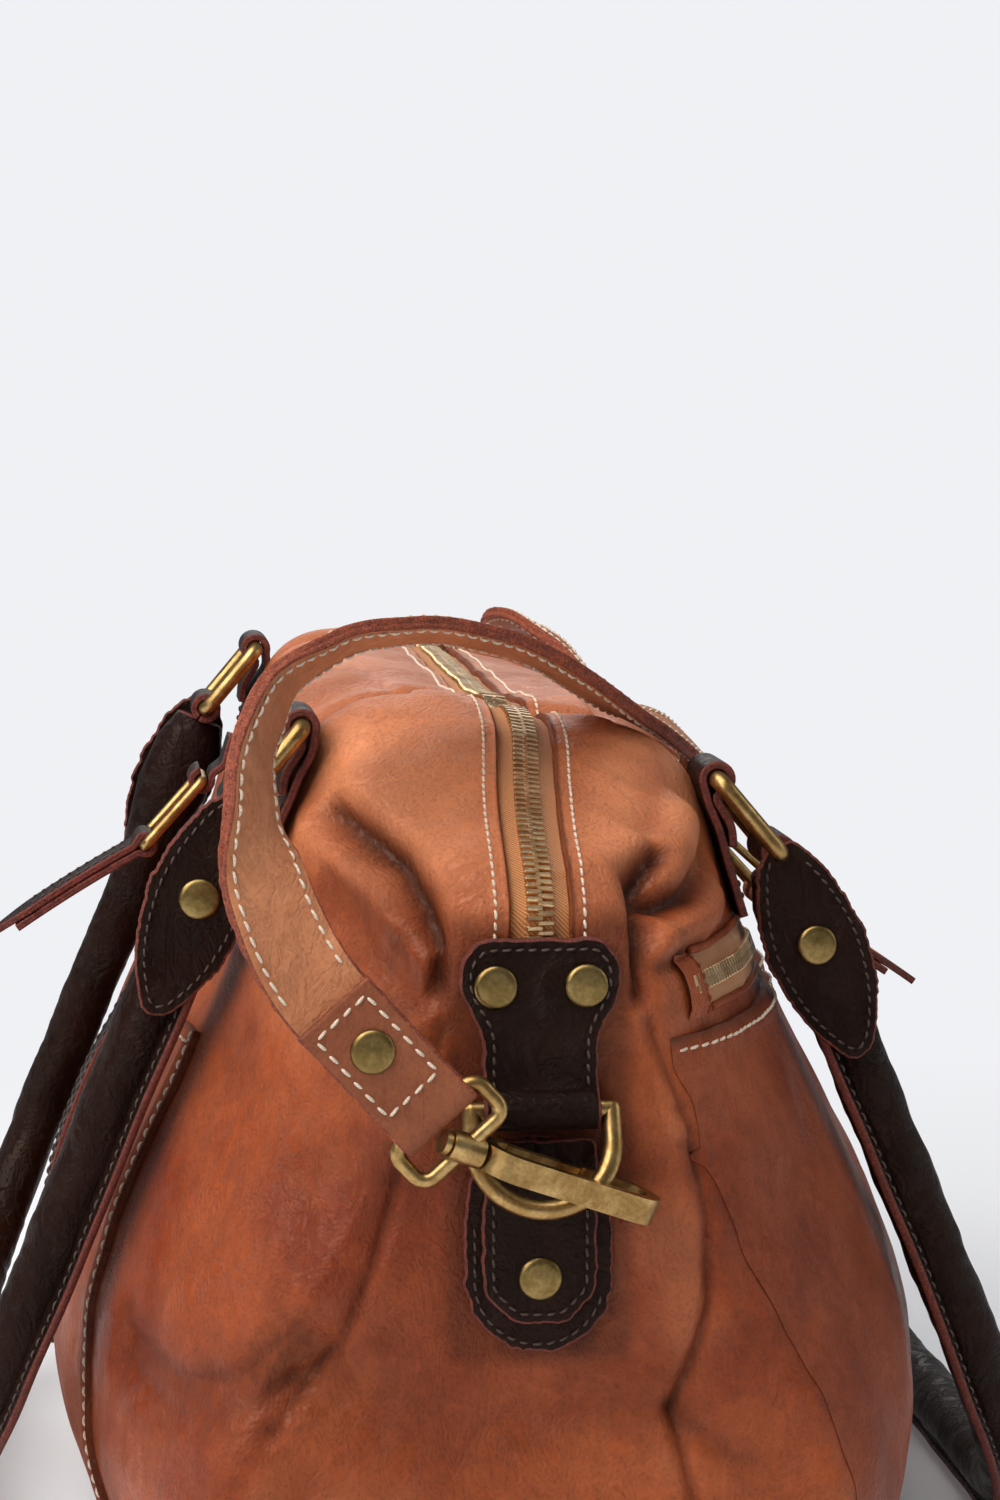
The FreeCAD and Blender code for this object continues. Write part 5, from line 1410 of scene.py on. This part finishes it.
def strap_end(label, sign):
    """Darker leather folded round the clasp's bar and sewn over the strap's end."""
    bar, up_strap, bar_axis = (turn(CLASP_BAR, sign), turn(STRAP_DIR, sign), turn(BAR_DIR, sign))
    face = vec(0, -sign, 0)
    cheek = 3.0
    lead = np.linspace(42, 5, 30)[:, None]
    front = bar + face * cheek + up_strap * lead
    loop = arc(bar, 3.65, 12, 168, face, -up_strap, 18)
    back = bar - face * cheek + up_strap * lead[::-1]
    route = evenly(np.concatenate([front, loop, back]), 1.1)
    fold = Builder()
    band(fold, route, bar_axis, 25.4, 2.0, seed=81, ragged=0.25, corner=0.6)
    fold.make(label + "_strap_fold", [PATCH, RUST_EDGE], "bag", "tan_leather",
              [label + "_strap_patch"])
    sew = Builder()
    for outward in (face, -face):
        base = bar + outward * (cheek + 1.0)
        corners = [(-9.3, 9.0), (-9.3, 38.5), (9.3, 38.5), (9.3, 9.0), (-9.3, 9.0)]
        for (a, b), (c, d) in zip(corners[:-1], corners[1:]):
            line = np.array([base + bar_axis * a + up_strap * b, base + bar_axis * c + up_strap * d])
            stitches(sew, evenly(line, 1.0), outward, pitch=4.6, length=3.3, thick=1.0)
    sew.make(label + "_fold_stitching", CREAM, "bag", "tan_leather")
    head = Builder()
    rivet_head(head, bar + up_strap * 25.5 + face * (cheek + 0.9), face, 6.3, 2.0)
    head.make(label + "_strap_head", RIVET, "bag", "antique_brass", [label + "_strap_rivet"])


near_and_far(strap_end)

# ---------------------------------------------------------------- lower belts
for side in (-1, 1):
    name = SIDE_NAMES[side]
    strip = smoothed(skin_strip(side, 0.0, np.linspace(52, 176, 60), POCKET_THICK + 1.6), 4)
    lower = Builder()
    place = np.linspace(0, 1, len(strip))
    band(lower, strip, Y_AXIS * side, BELT_WIDTH, LEATHER, 1 - 0.6 * ease(0.06, 0.0, place),
         seed=91)
    lower.make(name + "_lower_belt", BELT_LOOKS[side], "bag", "dark_leather",
               [name + "_belt_lower"])
    sewing = Builder()
    for edge_y in (-6.6, 6.6):
        stitches(sewing, strip[3:] + vec(side * 1.4, edge_y, 0), vec(side, 0, 0), pitch=4.2,
                 length=3.0, thick=0.9)
    sewing.make(name + "_lower_belt_stitching", CREAM if side > 0 else DARK_THREAD, "bag",
                "dark_leather")

# ---------------------------------------------------------------- stage, light and camera
def stage_plane(name, size, height, material):
    mesh = bpy.data.meshes.new(name)
    mesh.from_pydata([(-size, -size, height), (size, -size, height), (size, size, height),
                      (-size, size, height)], [], [(0, 1, 2, 3)])
    mesh.materials.append(material)
    obj = bpy.data.objects.new(name, mesh)
    scene.collection.objects.link(obj)


PALE = rgb(240, 241, 244)
floor = Shader("pale_floor")
floor.set(Base_Color=PALE, Roughness=0.8)
glow = floor.node("ShaderNodeEmission", Color=PALE, Strength=1.0).outputs[0]
radius = floor.node("ShaderNodeVectorMath", {"operation": "LENGTH"})
floor.put(radius.inputs[0], floor.place)
far_off = floor.remap(radius.outputs["Value"], 0.34, 0.8)
seen = floor.node("ShaderNodeLightPath").outputs["Is Camera Ray"]
cover = floor.node("ShaderNodeMixShader")
floor.put(cover.inputs[0], floor.maths("MULTIPLY", far_off, seen))
floor.put(cover.inputs[1], floor.base.outputs[0])
floor.put(cover.inputs[2], glow)
floor.tree.links.new(cover.outputs[0], floor.output.inputs[0])
stage_plane("floor", 12.0, -0.0004, floor.material)

world = bpy.data.worlds.new("studio")
scene.world = world
world.use_nodes = True
nodes, links = world.node_tree.nodes, world.node_tree.links
nodes.clear()
ambient = nodes.new("ShaderNodeBackground")
ambient.inputs["Color"].default_value = (0.93, 0.96, 1.0, 1.0)
ambient.inputs["Strength"].default_value = 0.21
shown = nodes.new("ShaderNodeBackground")
shown.inputs["Color"].default_value = PALE
shown.inputs["Strength"].default_value = 1.0
path_kind = nodes.new("ShaderNodeLightPath")
blend = nodes.new("ShaderNodeMixShader")
result = nodes.new("ShaderNodeOutputWorld")
links.new(path_kind.outputs["Is Camera Ray"], blend.inputs[0])
links.new(ambient.outputs[0], blend.inputs[1])
links.new(shown.outputs[0], blend.inputs[2])
links.new(blend.outputs[0], result.inputs[0])


def area_light(name, place, target, width, height, power, colour):
    data = bpy.data.lights.new(name, "AREA")
    data.shape = "RECTANGLE"
    data.size, data.size_y = width, height
    data.energy = power
    data.color = colour
    obj = bpy.data.objects.new(name, data)
    obj.location = place
    obj.rotation_euler = (Vector(target) - Vector(place)).to_track_quat("-Z", "Y").to_euler()
    scene.collection.objects.link(obj)


# name, place, target, side, height, power and colour
for light in (("overhead", (-0.8, -0.5, 1.6), (0, -0.05, 0.2), 1.7, 1.7, 43.0, (1.0, 0.985, 0.96)),
              ("front_left", (-1.5, -1.7, 1.0), (0, -0.1, 0.15), 1.0, 1.0, 9.0, (1.0, 0.98, 0.95)),
              ("right_rim", (1.6, -0.3, 0.8), (0, 0, 0.15), 0.8, 1.2, 4.0, (0.94, 0.97, 1.0)),
              ("back", (0.1, 1.9, 1.2), (0, 0, 0.15), 1.4, 1.0, 8.0, (1.0, 0.99, 0.98))):
    area_light(*light)

camera_data = bpy.data.cameras.new("camera")
camera = bpy.data.objects.new("camera", camera_data)
scene.collection.objects.link(camera)
camera_data.sensor_width = 36.0
camera_data.lens = 84.0
camera_data.clip_start = 0.05
pitch, yaw = math.radians(6.2), math.radians(6.6)
ahead = Vector((math.cos(pitch) * math.sin(yaw), math.cos(pitch) * math.cos(yaw),
                -math.sin(pitch)))
across = Vector((math.cos(yaw), -math.sin(yaw), 0))
upward = across.cross(ahead)
camera.matrix_world = Matrix((
    (across.x, upward.x, -ahead.x, -0.1243),
    (across.y, upward.y, -ahead.y, -1.2098),
    (across.z, upward.z, -ahead.z, 0.3895),
    (0, 0, 0, 1)))
scene.camera = camera
scene.view_settings.view_transform = "Standard"

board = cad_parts["base_board"].data
board.materials.clear()
board.materials.append(BOARD)
METAL = ["near_front_ring", "far_front_ring", "near_back_ring", "far_back_ring", "near_d_ring",
         "far_d_ring", "near_clasp_loop", "far_clasp_loop", "near_hook", "far_hook",
         "near_gate", "far_gate", "front_buckle", "back_buckle", "back_buckle_tongue",
         "zip_slider", "zip_pull", "pocket_slider", "pocket_pull"]
for name in METAL:
    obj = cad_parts[name]
    obj.data.materials.clear()
    obj.data.materials.append(BRASS)
    if name.split("_")[-1] in ("hook", "gate", "slider", "pull"):
        bevel = obj.modifiers.new("soft_edges", "BEVEL")
        bevel.width = 0.5 * MM
        bevel.segments = 2
        bevel.limit_method = "ANGLE"
        bevel.angle_limit = math.radians(40)
